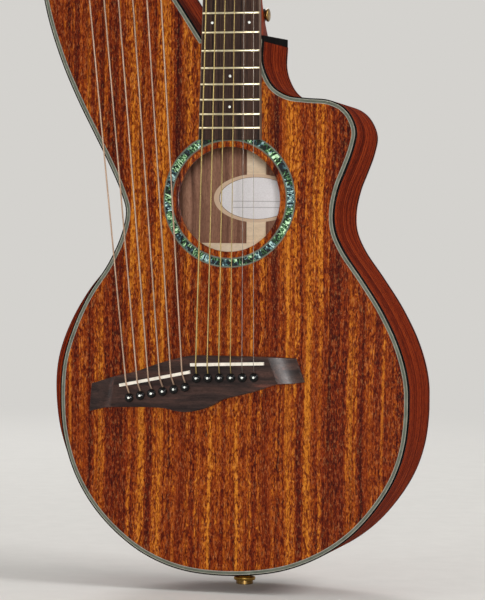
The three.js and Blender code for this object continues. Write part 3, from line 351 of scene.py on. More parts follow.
# A darker copy of the gold. On the strap knob it is painted shade for dark reflections, and it also covers the tail
# pin's end.
dark_gold = brushed("dark_gold", srgb(96, 74, 40), srgb(168, 134, 78), 0.3, (300, 2400, 300))
fret_metal = brushed("fret_metal", srgb(206, 192, 150), srgb(246, 236, 206), 0.3, (90, 2400, 2400))
steel = brushed("steel", srgb(92, 86, 80), srgb(146, 138, 128), 0.34, (2400, 2400, 40))
bronze = wound("bronze", srgb(98, 80, 42), srgb(182, 160, 98), 0.0005)
harp_bronze = wound("harp_bronze", srgb(104, 82, 66), srgb(188, 158, 132), 0.0007)


def shell_look():
    """Abalone laid in short irregular pieces round the rosette, each with its own colour and ripples."""
    look = Look("shell", rough=0.2, coat=0.4, coat_rough=0.05, specular=0.2)
    at = look.node("TexCoord").outputs["Object"]
    x, _, z = look.node("SeparateXYZ", {0: at}).outputs
    x = look.math("SUBTRACT", x, HOLE.x * MM)
    z = look.math("SUBTRACT", z, HOLE.y * MM)
    angle = look.math("ARCTAN2", z, x)
    reach = look.math("SQRT", look.math("ADD", look.math("MULTIPLY", x, x), look.math("MULTIPLY", z, z)))
    ripple = look.noise(look.place((420, 420, 420)), 1.0, 2.0)
    round_at = look.math("ADD", look.math("MULTIPLY", angle, 9.0), look.math("MULTIPLY", ripple, 0.5))
    cells = look.node("CombineXYZ", {0: round_at, 1: look.math("MULTIPLY", reach, 90.0)}).outputs[0]
    piece_colour = look.node("TexVoronoi", {"Vector": cells, "Scale": 1.0, "Randomness": 1.0}).outputs["Color"]
    shade = look.node("SeparateColor", {0: piece_colour}).outputs[0]
    streaks = look.node(
        "CombineXYZ",
        {0: look.math("MULTIPLY", angle, 15.0), 1: look.math("MULTIPLY", reach, 95.0), 2: look.math("MULTIPLY", shade, 9.0)},
    ).outputs[0]
    waves = look.noise(streaks, 1.0, 3.0, 0.62, 2.4)
    waves = look.node("MapRange", {"Value": waves, "From Min": 0.4, "From Max": 0.62}).outputs[0]
    tone = look.math("ADD", look.math("MULTIPLY", shade, 0.35), look.math("MULTIPLY", waves, 0.65))
    greens = [(0.32, srgb(8, 14, 10)), (0.5, srgb(24, 58, 30)), (0.68, srgb(70, 124, 72)), (0.92, srgb(206, 238, 196))]
    blues = [(0.32, srgb(10, 12, 20)), (0.5, srgb(24, 54, 56)), (0.68, srgb(76, 108, 114)), (0.92, srgb(200, 234, 226))]
    family = look.math("GREATER_THAN", look.node("SeparateColor", {0: piece_colour}).outputs[1], 0.5)
    look.colour(look.blend(family, look.ramp(tone, greens), look.ramp(tone, blues)))
    look.bump(waves, 0.05, 0.0002)
    return look.material


def label_look():
    """Cream paper with a tan rim and thin rules, and nothing written on it."""
    look = Look("label_paper", rough=0.8, specular=0.2)
    at = look.node("TexCoord").outputs["Object"]
    x, _, z = look.node("SeparateXYZ", {0: at}).outputs
    z = look.math("SUBTRACT", z, LABEL_Z * MM)
    u = look.math("DIVIDE", x, LABEL_HALF_X * MM)
    v = look.math("DIVIDE", z, LABEL_HALF_Z * MM)
    reach = look.math("SQRT", look.math("ADD", look.math("MULTIPLY", u, u), look.math("MULTIPLY", v, v)))
    fibres = look.noise(look.place((900, 900, 900)), 1.0, 4.0)
    paper = look.ramp(fibres, [(0.3, srgb(232, 226, 226)), (0.7, srgb(246, 242, 242))])
    rim_tone = look.ramp(reach, [(0.86, (0, 0, 0, 1)), (0.88, (1, 1, 1, 1))])
    rimmed = look.blend(rim_tone, paper, srgb(222, 192, 162))
    line = look.math("LESS_THAN", look.math("ABSOLUTE", look.math("SUBTRACT", reach, 0.87)), 0.008)
    ruled = look.blend(line, rimmed, srgb(120, 84, 66))
    step = look.math("ABSOLUTE", look.math("SUBTRACT", look.math("FRACT", look.math("MULTIPLY", z, 160.0)), 0.5))
    rule = look.math("LESS_THAN", step, 0.045)
    low = look.math("LESS_THAN", v, -0.1)
    inside = look.math("LESS_THAN", look.math("ABSOLUTE", u), 0.55)
    kept = look.math("GREATER_THAN", v, -0.62)
    shown = look.math("MULTIPLY", look.math("MULTIPLY", rule, low), look.math("MULTIPLY", inside, kept))
    look.colour(look.blend(look.math("MULTIPLY", shown, 0.6), ruled, srgb(96, 84, 80)))
    return look.material


LABEL_Z = -473.6
LABEL_HALF_X = 45
LABEL_HALF_Z = 24.4
shell = shell_look()
label_paper = label_look()


# ---------------------------------------------------------------- mesh helpers
def piece(name, points, faces, materials, slot, body="root", stands_for=(), uvs=None, smooth=35, marks=None):
    """Makes a mesh piece from points in millimetres, and puts it on its body."""
    mesh = bpy.data.meshes.new(name)
    mesh.from_pydata([Vector(p) * MM for p in points], [], faces)
    materials = materials if isinstance(materials, (list, tuple)) else [materials]
    for material in materials:
        mesh.materials.append(material)
    if marks:
        mesh.polygons.foreach_set("material_index", marks)
    if uvs:
        layer = mesh.uv_layers.new(name="UVMap")
        for loop in mesh.loops:
            layer.data[loop.index].uv = uvs[loop.vertex_index]
    tidy = bmesh.new()
    tidy.from_mesh(mesh)
    bmesh.ops.recalc_face_normals(tidy, faces=tidy.faces)
    tidy.to_mesh(mesh)
    tidy.free()
    if smooth:
        mesh.polygons.foreach_set("use_smooth", [True] * len(mesh.polygons))
        mesh.set_sharp_from_angle(angle=math.radians(smooth))
    made = bpy.data.objects.new(name, mesh)
    bpy.context.scene.collection.objects.link(made)
    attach(made, body)
    if stands_for:
        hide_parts(*stands_for)
    return made


def soften(made, width, steps=3, angle=35):
    """Rounds the sharp edges of a piece or of a solid that stays."""
    modifier = made.modifiers.new("soft_edges", "BEVEL")
    modifier.width = width * MM
    modifier.segments = steps
    modifier.limit_method = "ANGLE"
    modifier.angle_limit = math.radians(angle)
    modifier.use_clamp_overlap = True
    return made


def loft(rings, capped=True):
    """Points and faces of a skin over rings of equally many points."""
    count = len(rings[0])
    points = [p for ring in rings for p in ring]
    faces = []
    for r in range(len(rings) - 1):
        for i in range(count):
            j = (i + 1) % count
            faces.append((r * count + i, r * count + j, (r + 1) * count + j, (r + 1) * count + i))
    if capped:
        faces.append(tuple(range(count)))
        faces.append(tuple(range(len(points) - count, len(points))))
    return points, faces


def merged(*parts):
    points = []
    faces = []
    for some_points, some_faces in parts:
        start = len(points)
        points += some_points
        faces += [tuple(i + start for i in face) for face in some_faces]
    return points, faces


def placed(part, matrix):
    points, faces = part
    return [matrix @ Vector(p) for p in points], faces


def lathe(profile, sides, axis="Y", at=(0, 0, 0)):
    """A piece turned about an axis, from pairs of radius and height."""
    rings = []
    for k in range(sides):
        turn = 2 * math.pi * k / sides
        c, s = math.cos(turn), math.sin(turn)
        ring = []
        for r, h in profile:
            if axis == "Y":
                spot = (r * c, h, r * s)
            elif axis == "X":
                spot = (h, r * c, r * s)
            else:
                spot = (r * c, r * s, h)
            ring.append(Vector(spot) + Vector(at))
        rings.append(ring)
    count = len(profile)
    points = [p for ring in rings for p in ring]
    faces = []
    for k in range(sides):
        m = (k + 1) % sides
        for i in range(count - 1):
            faces.append((k * count + i, k * count + i + 1, m * count + i + 1, m * count + i))
    if profile[0] == profile[-1]:
        return weld(points, faces)
    ends = [tuple(k * count for k in range(sides)), tuple(k * count + count - 1 for k in range(sides))]
    faces += [end for end, (r, _) in zip(ends, (profile[0], profile[-1])) if r > 0]
    return weld(points, faces)


def weld(points, faces):
    """Joins points that lie together, and drops the faces that this flattens."""
    key = {}
    kept = []
    index = []
    for p in points:
        name = (round(p[0], 4), round(p[1], 4), round(p[2], 4))
        if name not in key:
            key[name] = len(kept)
            kept.append(Vector(p))
        index.append(key[name])
    clean = []
    for face in faces:
        ring = []
        for i in face:
            if index[i] not in ring:
                ring.append(index[i])
        if len(ring) > 2:
            clean.append(tuple(ring))
    return kept, clean


def slab(outline, front, back, holes=(), slope=None):
    """A plate drawn in X and Z. `slope` gives an extra depth at each Z."""
    loops = [outline, *holes]
    flat = [p for loop in loops for p in loop]
    total = len(flat)
    lean = slope or (lambda z: 0)
    points = [Vector((x, y + lean(z), z)) for y in (front, back) for x, z in flat]
    if holes:
        caps = tessellate_polygon([[Vector((x, z, 0)) for x, z in loop] for loop in loops])
        caps = [tuple(cap) for cap in caps if len(set(cap)) == 3]
    else:
        caps = [tuple(range(total))]
    faces = list(caps) + [tuple(i + total for i in cap) for cap in caps]
    start = 0
    for loop in loops:
        n = len(loop)
        for i in range(n):
            a, b = start + i, start + (i + 1) % n
            faces.append((a, b, b + total, a + total))
        start += n
    return points, faces


def box(low, high):
    (x0, y0, z0), (x1, y1, z1) = low, high
    return slab([(x0, z0), (x1, z0), (x1, z1), (x0, z1)], y0, y1)


def circle(r, sides, x=0.0, z=0.0):
    return [
        (x + r * math.cos(2 * math.pi * k / sides), z + r * math.sin(2 * math.pi * k / sides)) for k in range(sides)
    ]


def sliced(part, planes):
    """Cuts a solid's skin along planes, given as a point and a direction, so that it can be bent there."""
    points, faces = part
    work = bmesh.new()
    verts = [work.verts.new(p) for p in points]
    for face in faces:
        work.faces.new([verts[i] for i in face])
    for spot, way in planes:
        bmesh.ops.bisect_plane(
            work, geom=work.verts[:] + work.edges[:] + work.faces[:], plane_co=spot, plane_no=way, dist=0.001
        )
    work.verts.index_update()
    out = [v.co.copy() for v in work.verts], [tuple(v.index for v in f.verts) for f in work.faces]
    work.free()
    return out


def smooth_line(points, steps):
    """A centripetal curve through the points, with the given number of steps to a span."""
    points = [Vector((p[0], p[1])) for p in points]
    out = []
    last = len(points) - 1
    for i in range(last):
        p1, p2 = points[i], points[i + 1]
        p0 = points[i - 1] if i > 0 else 2 * p1 - p2
        p3 = points[i + 2] if i + 2 <= last else 2 * p2 - p1
        d0, d1, d2 = ((b - a).length_squared ** 0.25 for a, b in ((p0, p1), (p1, p2), (p2, p3)))
        t1 = ((p1 - p0) / d0 - (p2 - p0) / (d0 + d1) + (p2 - p1) / d1) * d1
        t2 = ((p2 - p1) / d1 - (p3 - p1) / (d1 + d2) + (p3 - p2) / d2) * d1
        for k in range(steps):
            t = k / steps
            c2 = -3 * p1 + 3 * p2 - 2 * t1 - t2
            c3 = 2 * p1 - 2 * p2 + t1 + t2
            out.append(p1 + t1 * t + c2 * t * t + c3 * t * t * t)
    out.append(points[-1])
    return out


def bezier(*controls, steps=8):
    """Points on a curve with two to four controls, its first point left out."""
    out = []
    for k in range(1, steps + 1):
        level = [Vector(c) for c in controls]
        while len(level) > 1:
            level = [a.lerp(b, k / steps) for a, b in zip(level, level[1:])]
        out.append(level[0])
    return out


# ---------------------------------------------------------------- the rim
ARM_INNER = [(-0.733, 0.854), (-0.709, 0.722), (-0.623, 0.568), (-0.49, 0.404), (-0.32, 0.19)]
TREBLE = [
    (0.17, 0.04), (0.19, 0.066), (0.236, 0.091), (0.312, 0.1065), (0.414, 0.1118), (0.538, 0.1157),
    (0.615, 0.1274), (0.664, 0.1465), (0.692, 0.1741), (0.676, 0.2063), (0.642, 0.2395), (0.601, 0.2758),
    (0.576, 0.318), (0.582, 0.3544), (0.629, 0.3918), (0.733, 0.4431), (0.846, 0.5023), (0.942, 0.5701),
    (0.991, 0.6325), (0.998, 0.6926), (0.976, 0.759), (0.917, 0.8183), (0.809, 0.8768), (0.681, 0.9241),
    (0.519, 0.9625), (0.305, 0.9914),
]
BASS = [
    (0.026, 1.0037), (-0.249, 0.9969), (-0.462, 0.9704), (-0.633, 0.9293), (-0.772, 0.8784), (-0.876, 0.817),
    (-0.939, 0.7453), (-0.956, 0.677), (-0.944, 0.6093), (-0.887, 0.5428), (-0.804, 0.4824), (-0.687, 0.4216),
    (-0.615, 0.3671), (-0.591, 0.3236), (-0.621, 0.2875), (-0.691, 0.2352), (-0.774, 0.1806), (-0.878, 0.1121),
    (-0.972, 0.0402),
]
ARM_OUTER = [(-1.059, 0.121), (-1.115, 0.37), (-1.138, 0.64), (-1.146, 0.89)]
RIM_STEPS = 6


def rim_point(pair):
    return pair[0] * BOUT, JOINT_Z - pair[1] * BODY_LENGTH


def arm_point(pair):
    return pair[0] * BOUT, JOINT_Z + pair[1] * ARM


arm_line = smooth_line([(-0.742 * BOUT, ARM_Z), *map(arm_point, ARM_INNER), (-JOINT_HALF, JOINT_Z)], RIM_STEPS)
body_line = smooth_line(
    [
        (JOINT_HALF + TOUCH, JOINT_Z),
        *map(rim_point, TREBLE),
        *map(rim_point, BASS),
        *map(arm_point, ARM_OUTER),
        (-1.148 * BOUT, ARM_Z),
    ],
    RIM_STEPS,
)
rim = arm_line + body_line
rim = [Vector((min(p.x, 0.998 * BOUT), p.y)) for p in rim]
treble_start = len(arm_line)
bass_start = treble_start + (1 + len(TREBLE)) * RIM_STEPS


def find_inwards():
    out = []
    for i, p in enumerate(rim):
        ways = []
        if i > 0:
            ways.append((p - rim[i - 1]).normalized())
        if i + 1 < len(rim):
            ways.append((rim[i + 1] - p).normalized())
        normals = [Vector((d.y, -d.x)) for d in ways]
        a, b = normals[0], normals[-1]
        out.append((a + b) / (1 + a.dot(b)))
    return out


inwards = find_inwards()


def inset(i, by):
    return rim[i] + inwards[i] * by


def bevel_at(i):
    if i < bass_start:
        return 0
    down = (JOINT_Z - rim[i].y) / BODY_LENGTH
    along = min(max((down - 0.285) / (0.975 - 0.285), 0), 1)
    return 15 * math.sin(math.pi * along) ** 2


arc = [0.0]
for a, b in zip(rim, rim[1:]):
    arc.append(arc[-1] + (b - a).length)

BLACK_LINE = 1.2
PALE_LINE = 0.65
GREY_BAND = 4.7
BINDING_DEPTH = 5
BACK_LINE = 4.5


def swept(name, section, materials, slot, first=0, last=None, stands_for=(), marks=None, closed=True):
    """A piece that follows the rim; `section` gives its outline at a rim index."""
    last = len(rim) - 1 if last is None else last
    rings = []
    uvs = []
    for i in range(first, last + 1):
        ring = section(i)
        rings.append([Vector((x, y, z)) for (x, z), y in ring])
        uvs += [(arc[i] * MM, y * MM) for _, y in ring]
    points, faces = loft(rings)
    count = len(rings[0])
    chosen = None
    if marks:
        chosen = [marks[k % count] for k in range(len(faces) - 2)] + [marks[0], marks[0]]
    return piece(name, points, faces, materials, slot, stands_for=stands_for, uvs=uvs, marks=chosen)


def strip_section(near, far, front, back):
    """A flat band along the soundboard's edge with slightly eased edges."""
    ease = 0.12

    def section(i):
        return [
            (inset(i, near + ease), front),
            (inset(i, far - ease), front),
            (inset(i, far), front + ease),
            (inset(i, far), back),
            (inset(i, near), back),
            (inset(i, near), front + ease),
        ]

    return section


def side_section(i):
    bevel = bevel_at(i)
    inner = 3 + TOUCH
    rise = bezier((0, 5.3), (-bevel * 0.72, 13.5), (-bevel, 30), steps=6)
    inner_share = (inner + 17) / 30
    here = [(0, 5.05), *[(p.x, p.y) for p in rise]]
    out = [(inset(i, by), y) for by, y in here]

    def from_back(by, rise_by):
        spot = inset(i, by)
        return spot, back_at(spot.y) - PLATE - TOUCH - rise_by

    out += [from_back(-bevel, BACK_LINE), from_back(8 - bevel, BACK_LINE)]
    out += [from_back(8 - bevel, 12), from_back(2.5 - bevel, 17)]
    out += [(inset(i, 2.5 - bevel * inner_share), inner + 17)]
    out += [(inset(i, 8), inner + 12), (inset(i, 8), inner), (inset(i, 2.8), inner), (inset(i, 2.8), 5.05)]
    return out


SIDE_MARKS = [0] * 7 + [1] * 9


def back_line_section(i):
    bevel = bevel_at(i)
    out = []
    for by, from_back in ((-bevel, BACK_LINE), (-bevel, 0), (3 - bevel, 0), (3 - bevel, BACK_LINE)):
        spot = inset(i, by)
        out.append((spot, back_at(spot.y) - PLATE - TOUCH - from_back + (0.1 if from_back == 0 else 0)))
    return out


def build_body():
    swept(
        "binding_black_line", strip_section(0, BLACK_LINE, 0, BINDING_DEPTH), binding_black, "binding",
        stands_for=("top_binding",),
    )
    inner_line = GREY_BAND - PALE_LINE
    outer_line = BLACK_LINE + PALE_LINE
    low = BINDING_DEPTH - 2
    swept("binding_grey_band", strip_section(outer_line, inner_line, 0, low), binding_grey, "binding")
    swept("binding_outer_line", strip_section(BLACK_LINE, outer_line, 0, low), silver_line, "binding")
    swept("binding_inner_line", strip_section(inner_line, GREY_BAND, 0, low), silver_line, "binding")
    sides = (
        ("arm_inner_wall", 0, treble_start - 1, "arm_inner_side"),
        ("treble_wall", treble_start, bass_start, "treble_side"),
        ("bass_wall", bass_start, len(rim) - 1, "bass_side"),
    )
    for name, first, last, node in sides:
        swept(
            name, side_section, [side_wood, raw_side], "body_wood", first, last,
            stands_for=(node,), marks=SIDE_MARKS,
        )
        swept(name + "_back_line", back_line_section, binding_black, "binding", first, last)

    hole = circle(66.6, 120, HOLE.x, HOLE.y)
    edge = [tuple(inset(i, GREY_BAND)) for i in range(len(rim))]
    points, faces = slab(edge, 0, PLATE, [hole])
    ring = [(57, 0), (51.9, 0), (51.3, 0.2), (51.05, 0.7), (51, 1.4), (51, 3), (57, 3), (57, 0)]
    at = (HOLE.x, 0, HOLE.y)
    ring_part = lathe(ring, 120, at=at)
    caps = (len(faces) - len(edge) - len(hole)) // 2
    marks = [0] * caps + [1] * caps + [0] * (len(edge) + len(hole))
    points, faces = merged((points, faces), ring_part)
    marks += [0] * (len(faces) - len(marks))
    piece("soundboard_face", points, faces, [top_wood, raw_wood], "top_wood", stands_for=("soundboard",), marks=marks)

    def ring_of(inner, outer, front):
        return lathe(
            [(outer, front + 0.1), (outer - 0.1, front), (inner + 0.1, front), (inner, front + 0.1),
             (inner, 2.9), (outer, 2.9), (outer, front + 0.1)],
            120, at=at,
        )

    piece("rosette_shell", *ring_of(58.6, 65.1, -0.02), shell, "shell", stands_for=("rosette",))
    lines = merged(ring_of(57.0, 58.6, 0.0), ring_of(65.1, 66.6, 0.0))
    piece("rosette_lines", *lines, binding_grey, "binding")

    edge = [tuple(inset(i, -bevel_at(i))) for i in range(len(rim))]
    points, faces = slab(edge, -PLATE, 0, slope=back_at)
    marks = [1, 0] + [0] * (len(faces) - 2)
    back = piece("back_panel", points, faces, [back_wood, raw_wood], "body_wood", stands_for=("back_plate",), marks=marks)
    soften(back, 0.8, 2, 50)
    seam = [(-2.2, JOINT_Z - 4), (2.2, JOINT_Z - 4), (2.2, JOINT_Z - BODY_LENGTH + 3), (-2.2, JOINT_Z - BODY_LENGTH + 3)]
    piece("back_inlay", *slab(seam, -0.6, 0.06, slope=back_at), binding_grey, "binding")
    edges = merged(
        *[
            slab([(x, z) for x, z in ((x0, JOINT_Z - 4), (x1, JOINT_Z - 4), (x1, JOINT_Z - 519), (x0, JOINT_Z - 519))],
                 -0.6, 0.05, slope=back_at)
            for x0, x1 in ((-3.2, -2.2), (2.2, 3.2))
        ]
    )
    piece("back_inlay_lines", *edges, binding_black, "binding")

    # A dark strip on the body's end, on both sides of the heel.
    end = [(0.4, -324.4), (0.4, -318.6), (97.6, -313.8), (97.6, -321.6)]
    ends = []
    for x0, x1 in ((-31.4, -28), (28, 31.6)):
        ends.append(loft([[Vector((x, y, z)) for y, z in end] for x in (x0, x1)]))
    soften(piece("joint_dark_strip", *merged(*ends), binding_black, "binding"), 0.3, 2)

    # A wedge of dark wood where the sides meet at the tail.
    tail = min(p.y for p in rim)
    low = 7
    high = back_at(tail) - 9
    i = bass_start
    here = inset(i, 0)
    wedge = []
    for y, half in ((low, 4), (high, 7)):
        wedge.append([Vector((here.x - half, y, here.y - 0.12)), Vector((here.x + half, y, here.y - 0.12)),
                      Vector((here.x + half, y, here.y + 1)), Vector((here.x - half, y, here.y + 1))])
    piece("tail_wedge", *loft(wedge), binding_black, "binding")


def build_inside():
    rings = []
    for dy in (0.0, 0.25):
        ring = []
        for k in range(96):
            turn = 2 * math.pi * k / 96
            ring.append((math.cos(turn), math.sin(turn), dy))
        rings.append(ring)

    def drape(x):
        reach = min(max((abs(x) - 10.5) / 14, 0), 1)
        return 2.65 - 2.3 * (reach * reach * (3 - 2 * reach))

    points = []
    faces = []
    radii = [k / 14 for k in range(1, 15)]
    for side, dy in enumerate((0.22, 0.0)):
        start = len(points)
        points.append(Vector((0, back_at(LABEL_Z) - PLATE - drape(0) - dy, LABEL_Z)))
        for r in radii:
            for k in range(96):
                turn = 2 * math.pi * k / 96
                x = LABEL_HALF_X * r * math.cos(turn)
                z = LABEL_Z + LABEL_HALF_Z * r * math.sin(turn)
                points.append(Vector((x, back_at(z) - PLATE - drape(x) - dy, z)))
        for k in range(96):
            faces.append((start, start + 1 + k, start + 1 + (k + 1) % 96))
        for r in range(len(radii) - 1):
            for k in range(96):
                a = start + 1 + r * 96
                m = (k + 1) % 96
                faces.append((a + k, a + m, a + 96 + m, a + 96 + k))
    outer = 1 + (len(radii) - 1) * 96
    shift = 1 + len(radii) * 96
    for k in range(96):
        m = (k + 1) % 96
        faces.append((outer + k, outer + m, outer + shift + m, outer + shift + k))
    piece("paper_label", points, faces, label_paper, "inside_wood")


# ---------------------------------------------------------------- neck and heads
SHAFT = [(1, 0), (0.95, 0.36), (0.8, 0.68), (0.56, 0.89), (0.28, 0.98)]
HEEL = [(1, 0), (0.99, 0.2), (0.91, 0.45), (0.69, 0.75), (0.38, 1)]


def neck_ring(z, depth, share):
    half = mix(board_half(z) - 0.6, 27, share)
    right = [(half * mix(s[0], h[0], share), depth * mix(s[1], h[1], share)) for s, h in zip(SHAFT, HEEL)]
    left = [(-x, y) for x, y in reversed(right)]
    line = smooth_line([*right, (0, depth), *left], 4)
    return [Vector((p.x, p.y, z)) for p in line]


head_frame = Matrix.Translation((0, 0, NUT + TOUCH)) @ Matrix.Rotation(-HEAD_TILT, 4, "X")


def build_neck():
    heel_top = JOINT_Z + 66
    heel_depth = back_at(JOINT_Z) - TOUCH
    start = NUT + TOUCH
    rings = []
    for k in range(15):
        z = mix(start, heel_top, k / 14)
        rings.append(neck_ring(z, mix(14.5, 17, z / heel_top), 0))
    for k in range(1, 27):
        share = k / 26
        drop = share**1.6
        rings.append(neck_ring(mix(heel_top, JOINT_Z + TOUCH, share), mix(17, heel_depth, drop), math.sqrt(drop)))
    piece("neck_shaft", *loft(rings), neck_wood, "neck_wood", stands_for=("neck",), smooth=50)

    cap_rings = []
    for k in range(19, 27):
        share = k / 26
        drop = share**1.6
        cap_rings.append(share)
    waist = 22.4
    bend = 0.144 * HEAD_LENGTH
    shoulder = 0.24 * HEAD_LENGTH
    crest = HEAD_LENGTH + NUT - 0.1
    half = [(waist, 0), (waist, NUT)]
    half += [tuple(p) for p in bezier((waist, NUT), (waist, bend), (HEAD_HALF, shoulder), steps=10)]
    half += [(HEAD_TIP_HALF, HEAD_LENGTH)]
    top = bezier((HEAD_TIP_HALF, HEAD_LENGTH), (HEAD_TIP_HALF / 2, crest), (0, HEAD_LENGTH - NUT), steps=10)
    half += [tuple(p) for p in top]
    outline = half + [(-x, z) for x, z in reversed(half[:-1])]
    body = placed(slab(outline, 1.3, HEAD_THICK), head_frame)
    soften(piece("headstock", *body, neck_wood, "neck_wood"), 1.6, 4)
    face = placed(slab(outline, 0, 1.3), head_frame)
    soften(piece("headstock_veneer", *face, veneer, "rosewood"), 0.3, 2)


def fret_part(n):
    """A fret with a rounded crown and ends filed at a slant."""
    z = fret_at(n)
    half = board_half(z) - 0.35
    rings = []
    for x, share in ((-half, 0.25), (-half + 0.9, 1), (half - 0.9, 1), (half, 0.25)):
        ring = []
        for k in range(9):
            turn = math.pi * k / 8
            ring.append(Vector((x, BOARD_TOP - share * math.sin(turn), z + 1.1 * math.cos(turn))))
        ring.append(Vector((x, BOARD_TOP + 0.4, z - 1.1)))
        ring.append(Vector((x, BOARD_TOP + 0.4, z + 1.1)))
        rings.append(ring)
    return loft(rings)


def build_fretboard():
    end = fret_at(FRETS) - 11.5
    rings = []
    edges = ([], [])
    for z in (-TOUCH, end):
        half = board_half(z)
        rings.append([Vector((x, y, z)) for x, y in ((-half + 0.9, BOARD_TOP), (half - 0.9, BOARD_TOP),
                                                    (half - 0.9, -TOUCH), (-half + 0.9, -TOUCH))])
        for side, out in zip((-1, 1), edges):
            out.append([Vector((side * x, y, z)) for x, y in ((half - 0.9, BOARD_TOP), (half - 0.3, BOARD_TOP),
                                                              (half, BOARD_TOP + 0.3), (half, -TOUCH),
                                                              (half - 0.9, -TOUCH))])
    piece("fingerboard", *loft(rings), board_wood, "rosewood", stands_for=("fretboard",))
    piece("fingerboard_edges", *merged(*[loft(out) for out in edges]), board_edge, "binding")
    piece("frets", *merged(*[fret_part(n) for n in range(1, FRETS + 1)]), fret_metal, "gold_metal", smooth=50)
    spots = []
    for n in (3, 5, 7, 9, 12, 15, 17):
        z = (fret_at(n - 1) + fret_at(n)) / 2
        for x in (-18.6, 18.6) if n == 12 else (0,):
            spots.append(lathe([(0, BOARD_TOP - 0.06), (1.15, BOARD_TOP - 0.06), (1.3, BOARD_TOP),
                                (1.3, BOARD_TOP + 0.5), (0, BOARD_TOP + 0.5)], 24, at=(x, 0, z)))
    piece("position_dots", *merged(*spots), pearl, "shell")


HARP_TURN = math.radians(45.6)
SPACING = 22.4
along_nut = Vector((math.cos(HARP_TURN), math.sin(HARP_TURN)))
across_nut = Vector((-along_nut.y, along_nut.x))
harp_nut_outer = Vector((-1.148 * BOUT + 35.9, ARM_Z + 85))


def harp_place(s, t):
    return harp_nut_outer + along_nut * s + across_nut * t


harp_posts = [harp_place(k * SPACING, 43 - 7 - POST_INSET) for k in range(6)]


def build_harp_head():
    top = 36
    butt = ARM_Z + TOUCH
    outer_end = Vector((-1.148 * BOUT, butt))
    inner_end = Vector((-0.742 * BOUT, butt))
    line = [outer_end, Vector((outer_end.x, harp_nut_outer.y - 21.5))]
    line += bezier(line[-1], harp_place(-8.6, top), harp_place(17.2, top), steps=16)
    tip = 140 - 43 * 0.4
    line.append(harp_place(tip, top))
    line += bezier(line[-1], harp_place(140, top), harp_place(140, top / 2), steps=12)
    line += bezier(line[-1], harp_place(140, -7), harp_place(tip, -7), steps=12)
    line.append(harp_place(SPACING * 5 * 0.68, -7))
    corner = harp_place((inner_end.x - harp_nut_outer.x) / along_nut.x, -7)
    line += bezier(line[-1], Vector((inner_end.x, corner.y)), inner_end, steps=18)
    outline = [tuple(p) for p in line]
    back = back_at(butt)
    profile = [Vector((butt, back))]
    profile += bezier((butt, back), (butt + 40, back), (butt + 40, HEAD_THICK), (butt + 80, HEAD_THICK), steps=26)
    planes = [((0, 0, p.x), (0, 0, 1)) for p in profile[1:]]
    points, faces = sliced(slab(outline, 1.3, 50), planes)

    def depth(z):
        for a, b in zip(profile, profile[1:]):
            if z <= b.x + 1e-4:
                return mix(a.y, b.y, max(z - a.x, 0) / (b.x - a.x))
        return HEAD_THICK

    points = [Vector((p.x, depth(p.z), p.z)) if p.y > 25 else p for p in points]
    soften(piece("harp_head_block", points, faces, neck_wood, "neck_wood", stands_for=("harp_head",)), 1.6, 3, 50)
    soften(piece("harp_head_veneer", *slab(outline, 0, 1.3), veneer, "rosewood"), 0.3, 2)
    ring = [Vector((x, y, z)) for y in (1.3, 3.3) for x, z in outline]
    collars = [lathe([(5.4, 0.2), (5.4, -0.7), (4.9, -1.1), (3.45, -1.1), (3.3, -0.9), (3.3, 0.2), (5.4, 0.2)], 32,
                     at=(p.x, 0, p.y)) for p in harp_posts]
    piece("harp_post_collars", *merged(*collars), gold, "gold_metal")


# ---------------------------------------------------------------- bridge
BRIDGE = [
    (-0.987, 0.527), (-0.804, 0.385), (-0.657, 0.3), (-0.475, 0.144), (-0.293, 0.024), (-0.221, 0),
    (0.283, 0.002), (0.492, 0.017), (0.556, 0.415), (0.456, 0.449), (0.371, 0.459), (0.321, 0.492),
    (0.215, 0.584), (0.072, 0.678), (-0.014, 0.733), (-0.107, 0.858), (-0.215, 0.941), (-0.288, 0.964),
    (-0.361, 0.952), (-0.44, 0.91), (-0.727, 0.908), (-0.883, 0.931), (-1, 1),
]


def bridge_point(pair):
    return Vector((pair[0] * BRIDGE_REACH, BRIDGE_TOP_Z - pair[1] * BRIDGE_DROP))


def main_saddle_at(x):
    return Vector((x, SADDLE_Z + x * 2.7 / 73.7))


def main_at(spread, k):
    return spread * (k / 5 - 0.5)


harp_saddle_outer = Vector((-99.7, SADDLE_Z - 21.6))
harp_saddle_inner = Vector((-42.7, SADDLE_Z - 9.9))
main_saddle_points = [main_saddle_at(main_at(58, k)) for k in range(6)]
harp_saddle_points = [harp_saddle_outer.lerp(harp_saddle_inner, k / 5) for k in range(6)]
main_pins = [p - Vector((0, 13.3)) for p in main_saddle_points]
harp_pins = [p + Vector((2.4, -13.5)) for p in harp_saddle_points]


